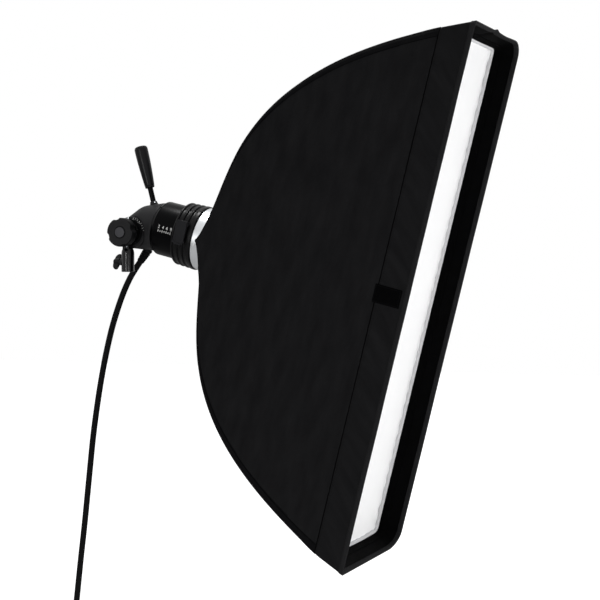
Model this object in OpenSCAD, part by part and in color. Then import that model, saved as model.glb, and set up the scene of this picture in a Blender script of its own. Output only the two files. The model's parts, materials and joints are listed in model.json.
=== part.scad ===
// Strip softbox on its flash head: stand bracket, tilt lock, clamp collar, ring, bent rods, fabric and head cable.
// Millimetres, +Z up, +X the way the light leaves. The origin is the middle of the stand socket's mouth.

/* [Softbox] */
// Height of the front edge
box_height = 915; // [840:5:1000]
// Width of the front edge
box_width = 305; // [270:5:360]
// Depth from the ring seat to the front edge
box_depth = 438; // [415:1:465]
// Distance ahead of the ring seat of the side curve's rear control point
rear_bend_ahead = 84; // [80:1:88]
// Half height of that point
rear_bend_rise = 113; // [106:1:120]
// Distance ahead of the ring seat of the side curve's front control point
front_bend_ahead = 7; // [2:1:14]
// Half height of that point
front_bend_rise = 306; // [298:1:314]
// Distance ahead of the ring seat where the fabric starts
rear_ahead = 14.5; // [13:0.5:16]
// Half width of the box where the fabric starts
rear_half_width = 66; // [64:0.5:72]
// Thickness of the shell fabric
fabric_t = 1.6; // [1:0.1:2.2]
// Depth of the lip ahead of the diffuser's seam
lip_depth = 57; // [50:1:70]
// Width of the tape that binds the lip's front edge
binding_w = 9; // [6:1:12]
// Thickness of that edge, tape and lip together
binding_t = 3; // [2.6:0.1:4]
// Length along the lip of the patch on each side
patch_h = 30; // [20:1:40]
// Width of that patch
patch_w = 39; // [25:1:40]
// Thickness of that patch
patch_t = 1.2; // [0.8:0.1:2]

/* [Diffusers] */
// Thickness of the diffuser cloth
diffuser_t = 1.2; // [0.8:0.1:1.6]
// Width of the front diffuser's hem, turned forwards onto the loop tape
hem_w = 9; // [6:1:14]
// Thickness of the hem
hem_t = 1.5; // [1:0.1:2]
// Width of the loop tape inside the lip
tape_w = 24; // [15:1:30]
// Thickness of the loop tape
tape_t = 0.8; // [0.5:0.1:1.2]
// Distance of the inner diffuser ahead of the ring seat
inner_ahead = 210; // [190:5:250]
// Height of the inner diffuser
inner_height = 480; // [420:10:520]
// Width of the inner diffuser
inner_width = 170; // [140:5:180]
// Width of an inner diffuser strap
strap_w = 12; // [8:1:20]

/* [Ring and rods] */
// Outer radius of the ring
ring_r = 55.5; // [55:0.1:56.2]
// Inner radius of the ring
ring_bore_r = 49.2; // [49:0.1:50]
// Length of the ring ahead of the collar
ring_len = 42; // [40:0.5:44]
// Radius of the ring's neck inside the collar
neck_r = 52; // [51.5:0.1:52.5]
// Radius of the lip that the collar traps
trap_r = 54; // [53.4:0.1:54.3]
// Width of that lip
trap_w = 3; // [2.5:0.1:3.5]
// Radius of a rod
rod_r = 3; // [2.5:0.1:3.2]
// Wall of a rod socket
socket_wall = 3; // [2:0.1:3.2]
// Length of a rod socket
socket_len = 36; // [28:1:40]
// Wall of a rod's end cap
tip_wall = 1.3; // [1:0.1:1.6]
// Length of a rod's end cap
tip_len = 18; // [12:1:24]
// Side of a corner pocket
pocket_w = 26; // [18:1:34]
// Thickness of a corner pocket
pocket_t = 2; // [1:0.1:3]

/* [Clamp collar] */
// Distance from the tilt axis to the collar's front
ring_seat = 127; // [124:0.5:132]
// Length of the collar
collar_len = 38.5; // [37:0.5:42]
// Radius of the collar's rear rib
collar_rear_r = 56.5; // [55.5:0.1:57]
// Radius of the collar's front rim
collar_front_r = 57.6; // [57.2:0.1:58.5]
// Width of the collar's front rim
rim_w = 8; // [7.5:0.5:9]
// Width of a rib
rib_w = 4.6; // [3.5:0.1:6]
// Depth of the grooves between the ribs
groove_depth = 2.6; // [1:0.1:2.8]
// Width of the slit above the latch
slit_w = 2; // [1.5:0.5:4]
// Radius of the latch pin
pin_r = 2; // [1.6:0.1:2.4]
// Width of the latch lever
latch_w = 20.5; // [16:0.5:22]
// Length of the latch lever below its pin
latch_len = 38; // [34:1:40]
// Thickness of the latch lever
latch_t = 3.2; // [2.4:0.1:4]
// Width of a cheek that holds the lever on its pin
cheek_w = 3.2; // [2.5:0.1:4.5]

/* [Flash head] */
// Radius of the barrel
barrel_r = 48.5; // [47.8:0.1:48.8]
// Distance from the tilt axis to the barrel's rear
barrel_rear = 41; // [39:0.5:43]
// Length of the barrel
barrel_len = 75; // [71:0.5:75]
// Wall of the barrel
barrel_wall = 4; // [3:0.1:5]
// Thickness of the barrel's rear wall
bulkhead_t = 23; // [19:1:27]
// Height of the barrel's axis above the tilt axis
axis_rise = 20; // [18:0.5:22]
// Radius of the rear housing round the tilt axis
hub_r = 28; // [27:0.5:30]
// Half the width of the rear housing at the tilt axis
hub_half = 28; // [26:0.5:30]
// Radius of the housing where it meets the barrel
collar_end_r = 43.5; // [42:0.5:44]
// Radius of the handle's rod
handle_rod_r = 4.8; // [4:0.1:6]
// Length of the handle's rod that shows
handle_rod_len = 31; // [24:1:40]
// Length of the handle's grip
grip_len = 77; // [60:1:100]
// Radius of the grip's top
grip_top_r = 12; // [10:0.5:14]
// Radius of the grip's foot
grip_foot_r = 8.8; // [8:0.1:10]
// How far the handle leans back from square to the barrel
handle_lean = 28.5; // [20:0.5:35]

/* [Tilt lock and bracket] */
// Nose-down tilt of the head at rest, in degrees
rest_tilt = 14; // [8:0.5:20]
// Height of the tilt axis above the socket's mouth
tilt_height = 70; // [69:0.5:76]
// Thickness of the tilt hub disc
hub_disc_t = 6; // [4:0.5:8]
// Radius of the tilt bolt
bolt_r = 5; // [4:0.1:6]
// Thickness of the friction washer
washer_t = 2; // [1:0.1:3]
// Thickness of the thrust washer under the knob
thrust_t = 1.2; // [0.8:0.1:2]
// Radius of the bracket's lug
lug_r = 20; // [17:0.5:22]
// Thickness of the bracket's lug
lug_t = 18; // [16:0.5:20]
// Radius of the knob
knob_r = 25.5; // [22:0.5:25.5]
// Thickness of the knob
knob_t = 21.5; // [17:0.5:25]
// Lobes of the knob
knob_lobes = 4; // [3:1:6]
// Radius of the cap in the knob's middle
cap_r = 9; // [6:0.5:11]
// Bore radius of the stand socket
socket_bore_r = 8.05; // [7.95:0.05:8.2]
// Outer radius of the stand socket
stand_socket_r = 11.5; // [11:0.5:13]
// Depth of the stand socket
socket_depth = 37; // [34:0.5:38]
// Radius of the wing screw
screw_r = 4; // [3:0.1:5]
// Height of the wing screw above the socket's mouth
screw_z = 18; // [16:0.5:19]
// Span of the wing grip
wing_span = 26; // [22:1:30]
// Thickness of the wing grip
wing_t = 4.6; // [4:0.1:6]

/* [Cable] */
// Diameter of the cable
cable_d = 11; // [10.4:0.1:11]
// Turns in the stored coil
coil_turns = 8; // [8:1:8]
// Layers in the stored coil
coil_layers = 4; // [4:2:4]
// Outer radius of the coil at the cable's middle
coil_r = 71; // [69:0.5:73]
// Straight cable from the coil to the plug
tail_len = 46; // [44:1:60]
// Radius of the plug's body
plug_r = 17; // [14:0.5:18]
// Length of the plug's body
plug_len = 46; // [36:1:56]

/* [Hidden] */
$fn = 72;

// Clearances: running fits, gaps between flat faces that slide, gaps between sewn pieces, seats and rods
run_fit = 0.06;
face_gap = 0.15;
seam_gap = 0.2;
seat_gap = 0.1;
rod_fit = 0.25;
ring_gap = 0.4;
// How far a cut runs past the face that it opens
past = 1;

// Cable route from the gland's tip to the coil, in the head's middle plane
cable_y = 45;
route = [
    [2, 18], [-9, 3], [-20, -14], [-32, -38], [-44, -68], [-56, -104], [-67, -146], [-77, -192], [-86, -242],
    [-95, -302], [-104, -380], [-113, -460], [-122, -532], [-130, -600], [-136, -646], [-139, -676], [-140, -698],
    [-140, -709]
];

// Places along the bracket's width, counted from the head's middle plane towards the knob
disc_face = hub_half + hub_disc_t;
washer_face = disc_face + face_gap;
lug_face = washer_face + washer_t;
thrust_face = lug_face + lug_t;
knob_face = thrust_face + thrust_t + face_gap;
head_offset = lug_face + lug_t / 2;

// Places along the barrel, counted from the tilt axis
barrel_front = barrel_rear + barrel_len;
bulkhead = barrel_rear + bulkhead_t;
bevel_w = 6;
bevel_h = 4.5;
barrel_edge = 1;
barrel_bore_r = barrel_r - barrel_wall;
collar_rear = ring_seat - collar_len;
trap_gap = 0.5;
trap_back = 2.5;
trap_front = ring_seat - trap_back;
trap_rear = trap_front - trap_w;

// The box's side outline, from the ring to the front edge, and its width, which grows with its height
rear_point = [rear_ahead, 0];
rear_bend = [rear_bend_ahead, rear_bend_rise];
front_bend = [front_bend_ahead, front_bend_rise];
front_point = [box_depth, box_height / 2];
function side(t) =
    pow(1 - t, 3) * rear_point + 3 * t * pow(1 - t, 2) * rear_bend + 3 * t * t * (1 - t) * front_bend
    + pow(t, 3) * front_point;
function half_width(h) = rear_half_width + (box_width / 2 - rear_half_width) * 2 * h / box_height;
function plan(t) = [side(t)[0], half_width(side(t)[1])];

// Points of those outlines moved inwards, square to the outline
function unit(v) = v / norm(v);
function inwards(v) = unit([v[1], -v[0]]);
small_t = 0.001;
function side_in(t, d) = side(t) + d * inwards(side(t + small_t) - side(t - small_t));
function plan_in(t, d) = plan(t) + d * inwards(plan(t + small_t) - plan(t - small_t));
function steps(from, to, n) = [for (i = [0 : n]) from + (to - from) * i / n];
function reversed(list) = [for (i = [len(list) - 1 : -1 : 0]) list[i]];

// The outline's parameter where its distance ahead (part 0) or its half height (part 1) has a value
function t_where(part, value, low = 0, high = 1.05, n = 30) =
    let (mid = (low + high) / 2)
    n == 0 ? mid
    : side(mid)[part] < value ? t_where(part, value, mid, high, n - 1) : t_where(part, value, low, mid, n - 1);

seam_x = box_depth - lip_depth;
seam_h = side(t_where(0, seam_x))[1];
seam_w = half_width(seam_h);
t_start = 0.008;
t_end = 1.04;
outline_steps = 26;
outline = steps(t_start, t_end, outline_steps);

// A rod lies inside the corner between two panels, further in at its socket
socket_r = rod_r + rod_fit + socket_wall;
tip_r = rod_r + rod_fit + tip_wall;
socket_room = 2.7;
tip_room = 0.5;
rod_inset = fabric_t + tip_room + tip_r;
socket_inset = fabric_t + socket_room + socket_r;
function inset_at(t) = rod_inset + (socket_inset - rod_inset) * pow(1 - t, 2);
function rod_point(t) =
    let (d = inset_at(t), s = side_in(t, d))
    [s[0], half_width(side(t)[1]) - d, s[1]];
function rod_t_at(x, low = 0, high = 1, n = 30) =
    let (mid = (low + high) / 2)
    n == 0 ? mid : rod_point(mid)[0] < x ? rod_t_at(x, mid, high, n - 1) : rod_t_at(x, low, mid, n - 1);
rod_start_rise = 28;
rod_end_back = 9;
rod_free_t = t_where(1, rod_start_rise + socket_len);
rod_end_t = rod_t_at(seam_x - rod_end_back);
rod_rings = 26;
rod_sides = 8;
// The rod's foot is straight, as far as its socket reaches
rod_foot = rod_point(t_where(1, rod_start_rise));
rod_path = concat([rod_foot], [for (t = steps(rod_free_t, rod_end_t, rod_rings - 1)) rod_point(t)]);
rod_dir = unit(rod_path[1] - rod_foot);

// A tube swept along points, as one closed polyhedron
function tangent(p, i) = unit(p[min(i + 1, len(p) - 1)] - p[max(i - 1, 0)]);
function ring_at(p, i, r, n) =
    let (t = tangent(p, i), a = unit([0, 1, 0] - t[1] * t), b = cross(t, a))
    [for (k = [0 : n - 1]) p[i] + r * (cos(360 * k / n) * a + sin(360 * k / n) * b)];
module tube(p, r, n) {
    last = (len(p) - 1) * n;
    walls = [
        for (i = [0 : len(p) - 2], k = [0 : n - 1], half = [0, 1])
        let (a = i * n + k, b = i * n + (k + 1) % n)
        half == 0 ? [a, a + n, b + n] : [a, b + n, b]
    ];
    first_cap = [for (k = [1 : n - 2]) [0, k, k + 1]];
    last_cap = [for (k = [1 : n - 2]) [last, last + k + 1, last + k]];
    polyhedron([for (i = [0 : len(p) - 1]) each ring_at(p, i, r, n)], concat(walls, first_cap, last_cap));
}

// A smooth curve through the points of a list
function curve_at(p, i, u) =
    let (n = len(p) - 1, a = p[max(i - 1, 0)], b = p[i], c = p[min(i + 1, n)], d = p[min(i + 2, n)])
    b + 0.5 * u * (c - a + u * (2 * a - 5 * b + 4 * c - d + u * (3 * (b - c) + d - a)));
cable_r = cable_d / 2;
cable_sides = 10;
cable_path = [for (p = route) [p[0], cable_y, p[1]]];
cable_curve = concat(
    [for (i = [0 : len(route) - 2], u = [0, 0.5]) curve_at(cable_path, i, u)],
    [cable_path[len(route) - 1]]
);
gland_dir = unit(cable_path[0] - cable_path[1]);

// The coil: layers that spiral in and out, each climb taking half a turn at the reversal
coil_sides = 6;
coil_rings = 24;
coil_gap = 0.8;
climb = 0.5;
coil_pitch = cable_d + coil_gap;
layer_turns = (coil_turns - (coil_layers - 1) * climb) / coil_layers;
coil_in_r = coil_r - coil_pitch * layer_turns;
cable_end = cable_path[len(route) - 1];
coil_start = cable_end - [0, 0, seat_gap];
coil_mid = coil_start + [coil_r, 0, -cable_d];
function eased(s) = s * s * (3 - 2 * s);
function coil_point(u) =
    let (
        layer = min(floor(u / (layer_turns + climb)), coil_layers - 1),
        v = u - layer * (layer_turns + climb),
        inner = layer % 2 == 0,
        over = max(v - layer_turns, 0) / climb,
        dip = coil_pitch * climb * over * (1 - over),
        run = coil_pitch * min(v, layer_turns),
        r = inner ? coil_r - run - dip : coil_in_r + run + dip
    )
    coil_mid + [-r * cos(360 * u), (layer + eased(over)) * coil_pitch, -r * sin(360 * u)];
coil_turn_points = [for (i = [0 : coil_turns * coil_rings]) coil_point(i / coil_rings)];
coil_end = coil_turn_points[len(coil_turn_points) - 1];
tail_end = coil_end - [0, 0, tail_len];
coil_path = concat([coil_start], coil_turn_points, [tail_end]);
// Least distance between points of the coil that lie more than a third of a turn apart, less the cable
far_apart = coil_rings / 3;
coil_least_gap = min([
    for (i = [0 : len(coil_path) - 1], j = [i + far_apart : 1 : len(coil_path) - 1])
    norm(coil_path[i] - coil_path[j])
]) - cable_d;
echo(coil_least_gap = coil_least_gap);

// Frames: the tilted head, the box ahead of the ring seat, and turned parts on the barrel's axis
module at_head() translate([0, head_offset, tilt_height]) rotate([0, rest_tilt, 0]) children();
module in_box() at_head() translate([ring_seat, 0, axis_rise]) children();
module turned(points) translate([0, 0, axis_rise]) rotate([0, 90, 0]) rotate_extrude() polygon(points);
module across(y) translate([0, -y, 0]) rotate([90, 0, 0]) children();
module towards(v) rotate([0, acos(v[2]), atan2(v[1], v[0])]) children();
module corner(y_sign, z_sign) mirror([0, y_sign < 0 ? 1 : 0, 0]) mirror([0, 0, z_sign < 0 ? 1 : 0]) children();
module each_corner() for (y_sign = [-1, 1], z_sign = [-1, 1]) corner(y_sign, z_sign) children();

// Walls of the box: from one depth under its outline to another, over a stretch ahead of the ring seat
module stretch(from, to) {
    translate([from, -box_width, -box_height]) cube([to - from, 2 * box_width, 2 * box_height]);
}
module side_wall(outer, inner) {
    linear_extrude(2 * box_height, center = true)
        polygon(concat(
            [for (t = outline) plan_in(t, outer)],
            reversed([for (t = outline) plan_in(t, inner)])
        ));
}
module top_wall(outer, inner) {
    rotate([90, 0, 0]) linear_extrude(2 * box_width, center = true)
        polygon(concat(
            [for (t = outline) side_in(t, outer)],
            reversed([for (t = outline) side_in(t, inner)])
        ));
}
module within_sides(d) {
    rim = [for (t = outline) plan_in(t, d)];
    linear_extrude(2 * box_height, center = true)
        polygon(concat(rim, reversed([for (p = rim) [p[0], -p[1]]])));
}
module within_top(d) {
    rim = [for (t = outline) side_in(t, d)];
    rotate([90, 0, 0]) linear_extrude(2 * box_width, center = true)
        polygon(concat(rim, reversed([for (p = rim) [p[0], -p[1]]])));
}
module side_panel() {
    intersection() {
        side_wall(0, fabric_t);
        within_top(fabric_t + seam_gap);
        stretch(0, seam_x - seat_gap);
    }
}
module cross_panel() {
    difference() {
        intersection() {
            top_wall(0, fabric_t);
            within_sides(0);
            stretch(0, seam_x - seat_gap);
        }
        rotate([0, 90, 0]) cylinder(r = ring_r + ring_gap, h = seam_x);
    }
}
module frame_band(outer, inner, from, to) {
    intersection() {
        union() {
            side_wall(outer, inner);
            mirror([0, 1, 0]) side_wall(outer, inner);
            top_wall(outer, inner);
            mirror([0, 0, 1]) top_wall(outer, inner);
        }
        within_sides(outer);
        within_top(outer);
        stretch(from, to);
    }
}
module sheet_across(from, t) {
    intersection() {
        within_sides(fabric_t + seam_gap);
        within_top(fabric_t + seam_gap);
        stretch(from, from + t);
    }
}

// Stand bracket and its wing screw
mouth_edge = 0.8;
shoulder_z = 32;
shoulder_h = 11;
neck_half = 6.25;
boss_r = 7;
boss_rise = 1.5;
boss_end = stand_socket_r + boss_rise;
grip_gap = 1.5;
wing_w = 13;
wing_wall = 1.6;
wing_flare = 1.4;
grip_end_t = 2;
screw_stop = 0.2;
module stand_bracket() {
    color("#1c1c1d") difference() {
        union() {
            rotate_extrude() polygon(concat(
                [[0, 0], [stand_socket_r - mouth_edge, 0], [stand_socket_r, mouth_edge]],
                [for (a = [0 : 15 : 90])
                    [neck_half + (stand_socket_r - neck_half) * cos(a), shoulder_z + shoulder_h * sin(a)]],
                [[0, shoulder_z + shoulder_h]]
            ));
            translate([-neck_half, -lug_t / 2, shoulder_z + shoulder_h / 2])
                cube([2 * neck_half, lug_t, tilt_height - shoulder_z - shoulder_h / 2]);
            translate([0, lug_t / 2, tilt_height]) rotate([90, 0, 0]) cylinder(r = lug_r, h = lug_t);
            translate([-boss_end, 0, screw_z]) rotate([0, 90, 0]) cylinder(r = boss_r, h = boss_end);
        }
        translate([0, 0, -past]) cylinder(r = socket_bore_r, h = socket_depth + past);
        translate([0, lug_t, tilt_height]) rotate([90, 0, 0]) cylinder(r = bolt_r + run_fit, h = 2 * lug_t);
        translate([-boss_end - past, 0, screw_z]) rotate([0, 90, 0])
            cylinder(r = screw_r + run_fit, h = boss_end + past);
    }
}
module wing_screw() {
    start = boss_end + grip_gap + wing_w - grip_end_t;
    color("#c9cacb") translate([-start, 0, screw_z]) rotate([0, 90, 0])
        cylinder(r = screw_r, h = start - socket_bore_r - screw_stop);
}
module wing_grip() {
    wing_r = wing_w / 2;
    root = -boss_end - grip_gap;
    hub_rear_r = screw_r + wing_wall;
    hub_front_r = hub_rear_r + wing_flare;
    color("#161616") difference() {
        union() {
            translate([root - wing_w, 0, screw_z]) rotate([0, 90, 0])
                cylinder(r1 = hub_rear_r, r2 = hub_front_r, h = wing_w);
            translate([0, wing_t / 2, screw_z]) rotate([90, 0, 0]) linear_extrude(wing_t) union() {
                for (up = [-1, 1])
                    translate([root - wing_r, up * (wing_span / 2 - wing_r)]) circle(r = wing_r);
                translate([root - wing_w + grip_end_t, wing_r - wing_span / 2])
                    square([wing_w - grip_end_t, wing_span - wing_w]);
            }
        }
        translate([root - wing_w + grip_end_t - seat_gap, 0, screw_z]) rotate([0, 90, 0])
            cylinder(r = screw_r + seat_gap / 2, h = wing_w);
    }
}

// Tilt lock
washer_rim = 3;
thrust_rim = 8;
disc_rim = 0.5;
washer_r = lug_r + washer_rim;
thrust_r = bolt_r + thrust_rim;
disc_r = hub_r + disc_rim;
bolt_depth = 20;
bolt_in_knob = 15;
module washer(y, t, r) {
    across(y) difference() {
        cylinder(r = r, h = t);
        translate([0, 0, -past]) cylinder(r = bolt_r + run_fit, h = t + 2 * past);
    }
}
module friction_washer() color("#3a3a3a") at_head() washer(washer_face, washer_t, washer_r);
module thrust_washer() color("#b8b9ba") at_head() washer(thrust_face, thrust_t, thrust_r);
module tilt_bolt() {
    start = hub_half - bolt_depth;
    color("#a9abad") at_head() across(start) cylinder(r = bolt_r, h = knob_face + bolt_in_knob - start);
}
knob_edge = 2.2;
knob_foot_h = 3;
knob_foot_in = 6;
scallop_r = 12;
scallop_depth = 2.4;
knob_turned = 30;
cap_recess = 0.8;
cap_rim = 2;
cap_dome = 1.6;
cap_edge = 1.2;
module tilt_knob() {
    scallop_at = knob_r + scallop_r - scallop_depth;
    color("#1b1b1c") at_head() across(knob_face) difference() {
        rotate_extrude() polygon([
            [0, 0], [knob_r - knob_foot_in, 0], [knob_r - knob_foot_in + knob_edge, knob_foot_h],
            [knob_r, knob_foot_h + knob_edge], [knob_r, knob_t - knob_edge], [knob_r - knob_edge, knob_t],
            [cap_r + 2 * cap_rim, knob_t], [cap_r + cap_rim, knob_t - cap_recess], [0, knob_t - cap_recess]
        ]);
        for (i = [0 : knob_lobes - 1]) rotate(360 * i / knob_lobes + knob_turned)
            translate([scallop_at, 0, knob_foot_h]) cylinder(r = scallop_r, h = knob_t);
        translate([0, 0, -past]) cylinder(r = bolt_r + run_fit, h = past + bolt_in_knob + trap_gap);
    }
}
module knob_cap() {
    color("#2a2a2b") at_head() across(knob_face + knob_t - cap_recess + seat_gap) rotate_extrude() polygon([
        [0, 0], [cap_r, 0], [cap_r, cap_edge], [cap_r - cap_dome, cap_edge + cap_dome], [0, cap_edge + cap_dome]
    ]);
}
module tilt_hub() {
    edge = 1.5;
    color("#202021") at_head() across(hub_half) difference() {
        rotate_extrude() polygon([
            [0, 0], [disc_r, 0], [disc_r, hub_disc_t - edge], [disc_r - edge, hub_disc_t], [0, hub_disc_t]
        ]);
        translate([0, 0, -past]) cylinder(r = bolt_r + seat_gap, h = hub_disc_t + 2 * past);
    }
}

// Flash head
handle_root = [16.7, 56];
handle_depth = 16;
rod_in_grip = 20;
gland_nut_r = 10.5;
gland_thread_r = 7;
gland_thread_len = 12;
relief_len = 22;
nut_len = 6;
module at_handle(s) {
    translate([handle_root[0], 0, handle_root[1]]) rotate([0, -handle_lean, 0]) translate([0, 0, s]) children();
}
module at_gland(s) translate(cable_path[0]) towards(gland_dir) translate([0, 0, s + face_gap]) children();
crown_r = 38;
crown_at = [21, 17];
shoulder_w = 4;
hole_deeper = 0.3;
module rear_housing() {
    color("#232324") difference() {
        at_head() difference() {
            hull() {
                translate([0, hub_half, 0]) rotate([90, 0, 0]) cylinder(r = hub_r, h = 2 * hub_half, $fn = 48);
                translate([crown_at[0], 0, crown_at[1]]) sphere(r = crown_r, $fn = 32);
                translate([barrel_rear - shoulder_w, 0, axis_rise]) rotate([0, 90, 0])
                    cylinder(r = collar_end_r, h = shoulder_w, $fn = 64);
            }
            across(hub_half - bolt_depth - hole_deeper)
                cylinder(r = bolt_r + seat_gap / 2, h = bolt_depth + hole_deeper + past);
            across(hub_half) cylinder(r = disc_r + ring_gap, h = collar_end_r);
            translate([barrel_rear, -barrel_r, axis_rise - barrel_r])
                cube([barrel_len, 2 * barrel_r, 2 * barrel_r]);
            at_handle(-handle_depth - hole_deeper)
                cylinder(r = handle_rod_r + seat_gap / 2, h = handle_depth + handle_rod_len);
        }
        at_gland(relief_len + nut_len)
            cylinder(r = gland_thread_r + seat_gap / 2, h = gland_thread_len + hole_deeper);
        at_gland(0) cylinder(r = gland_nut_r + ring_gap, h = relief_len + nut_len + seat_gap);
    }
}
module barrel() {
    color("#1d1d1e") at_head() turned([
        [0, barrel_rear], [barrel_r - bevel_h, barrel_rear], [barrel_r, barrel_rear + bevel_w],
        [barrel_r, barrel_front - barrel_edge], [barrel_r - barrel_edge, barrel_front],
        [barrel_bore_r, barrel_front], [barrel_bore_r, bulkhead], [0, bulkhead]
    ]);
}
module handle_rod() {
    color("#2b2b2c") at_head() at_handle(-handle_depth)
        cylinder(r = handle_rod_r, h = handle_depth + handle_rod_len + rod_in_grip);
}
grip_edge = 1.5;
grip_shoulder = 8;
grip_crown_r = 5;
module handle_grip() {
    middle_r = (grip_foot_r + grip_top_r) / 2;
    color("#18181a") at_head() at_handle(handle_rod_len) difference() {
        rotate_extrude() polygon(concat(
            [[0, 0], [grip_foot_r - grip_edge, 0], [grip_foot_r, grip_edge]],
            [[middle_r, grip_len / 2], [grip_top_r, grip_len - grip_shoulder]],
            [for (a = [0 : 15 : 90])
                [grip_top_r - grip_crown_r * (1 - cos(a)), grip_len - grip_crown_r * (1 - sin(a))]],
            [[0, grip_len]]
        ));
        translate([0, 0, -past])
            cylinder(r = handle_rod_r + seat_gap / 2, h = past + rod_in_grip + hole_deeper);
    }
}
relief_tip_t = 0.9;
relief_root_t = 2.6;
nut_edge = 0.5;
module cable_gland() {
    color("#141414") at_gland(0) rotate_extrude() polygon([
        [0, 0], [cable_r + relief_tip_t, 0], [cable_r + relief_root_t, relief_len],
        [gland_nut_r - nut_edge, relief_len], [gland_nut_r, relief_len + nut_edge],
        [gland_nut_r, relief_len + nut_len], [gland_thread_r, relief_len + nut_len],
        [gland_thread_r, relief_len + nut_len + gland_thread_len], [0, relief_len + nut_len + gland_thread_len]
    ]);
}

// Lamp parts behind the glass dome
base_t = 8;
lamp_face = bulkhead + base_t + seat_gap;
lamp_socket_r = 13;
lamp_socket_len = 16;
bulb_r = 11;
bulb_len = 52;
tube_ring_r = 28;
tube_r = 4.5;
tube_rise = 28;
lead_r = 3.6;
dome_wall = 2.2;
dome_fit = 0.7;
dome_r = barrel_bore_r - dome_fit;
dome_ahead = 4;
dome_straight = barrel_front + dome_ahead - lamp_face;
socket_edge = 2;
bulb_neck = 3;
bulb_swell = 8;
module lamp_base() {
    color("#e6e4de") at_head() turned([
        [0, bulkhead], [barrel_bore_r - ring_gap / 2, bulkhead], [barrel_bore_r - ring_gap / 2, bulkhead + base_t],
        [0, bulkhead + base_t]
    ]);
}
module lamp_socket() {
    color("#d9d6cc") at_head() turned([
        [0, lamp_face], [lamp_socket_r, lamp_face], [lamp_socket_r, lamp_face + lamp_socket_len - socket_edge],
        [lamp_socket_r - socket_edge, lamp_face + lamp_socket_len], [0, lamp_face + lamp_socket_len]
    ]);
}
module modelling_lamp() {
    foot = lamp_face + lamp_socket_len + seat_gap;
    color("#f2ecd8") at_head() turned(concat(
        [[0, foot], [bulb_r - bulb_neck, foot], [bulb_r, foot + bulb_swell]],
        [for (a = [0 : 15 : 90]) [bulb_r * cos(a), foot + bulb_len - bulb_r + bulb_r * sin(a)]]
    ));
}
module flash_tube() {
    color("#e9eef2") at_head() translate([lamp_face, 0, axis_rise]) rotate([0, 90, 0]) union() {
        translate([0, 0, tube_rise]) rotate_extrude() translate([tube_ring_r, 0]) circle(r = tube_r, $fn = 32);
        for (a = [0, 180]) rotate(a) translate([tube_ring_r, 0, 0]) cylinder(r = lead_r, h = tube_rise);
    }
}
module glass_dome() {
    inner_r = dome_r - dome_wall;
    tip = lamp_face + dome_straight;
    color("#dfe8ea", 0.5) at_head() turned(concat(
        [[inner_r, lamp_face], [dome_r, lamp_face]],
        [for (a = [0 : 10 : 90]) [dome_r * cos(a), tip + dome_r * sin(a)]],
        [for (a = [90 : -10 : 0]) [inner_r * cos(a), tip + inner_r * sin(a)]]
    ));
}

// Clamp collar and its latch
rib_count = 4;
rib_edge = 1.3;
rib_pitch = (collar_len - rim_w) / (rib_count - 1);
function rib_r(i) = collar_rear_r + (collar_front_r - collar_rear_r) * i / (rib_count - 1);
function rib_x(i) = collar_rear + rib_pitch * i;
rim_edge = 1.5;
slit_angle = 56;
latch_back = 20;
pin_under = 0.8;
pin_rise = 22.5;
pin_wall = 2.2;
cheek_wall = 1.4;
latch_mid = ring_seat - latch_back;
pin_y = collar_front_r - pin_under;
pin_z = axis_rise + pin_rise;
cheek_r = pin_r + cheek_wall;
ear_w = latch_w - 2 * (cheek_w + seam_gap);
ear_r = pin_r + pin_wall;
ear_in = sqrt(pow(barrel_r + ring_gap, 2) - pow(pin_rise - ear_r, 2));
pin_half = latch_w / 2 - seam_gap;
module at_pin(x) translate([latch_mid + x, -pin_y, pin_z]) rotate([0, 90, 0]) children();
module clamp_collar() {
    grip_r = barrel_r + run_fit;
    color("#141415") at_head() difference() {
        union() {
            turned(concat(
                [for (i = [0 : rib_count - 2]) each [
                    [rib_r(i) - rib_edge, rib_x(i)], [rib_r(i), rib_x(i) + rib_edge],
                    [rib_r(i), rib_x(i) + rib_w - rib_edge], [rib_r(i) - rib_edge, rib_x(i) + rib_w],
                    [rib_r(i) - groove_depth, rib_x(i) + rib_w],
                    [rib_r(i) - groove_depth, rib_x(i + 1)]
                ]],
                [
                    [collar_front_r - rib_edge, ring_seat - rim_w], [collar_front_r, ring_seat - rim_w + rib_edge],
                    [collar_front_r, ring_seat - rim_edge], [collar_front_r - rim_edge, ring_seat],
                    [neck_r + run_fit, ring_seat], [neck_r + run_fit, trap_front + trap_gap],
                    [trap_r + trap_gap, trap_front + trap_gap], [trap_r + trap_gap, trap_rear - trap_gap],
                    [grip_r, trap_rear - trap_gap], [grip_r, collar_rear]
                ]
            ));
            at_pin(-ear_w / 2) cylinder(r = ear_r, h = ear_w);
            translate([latch_mid - ear_w / 2, -pin_y, pin_z - ear_r]) cube([ear_w, pin_y - ear_in, 2 * ear_r]);
        }
        at_pin(-pin_half - past) cylinder(r = pin_r + seat_gap / 2, h = 2 * (pin_half + past));
        translate([0, 0, axis_rise]) rotate([-slit_angle, 0, 0])
            translate([collar_rear - past, -collar_front_r - past, -slit_w / 2])
            cube([collar_len + 2 * past, collar_front_r + past, slit_w]);
    }
}
module latch_pin() color("#b4b6b8") at_head() at_pin(-pin_half) cylinder(r = pin_r, h = 2 * pin_half);
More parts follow.
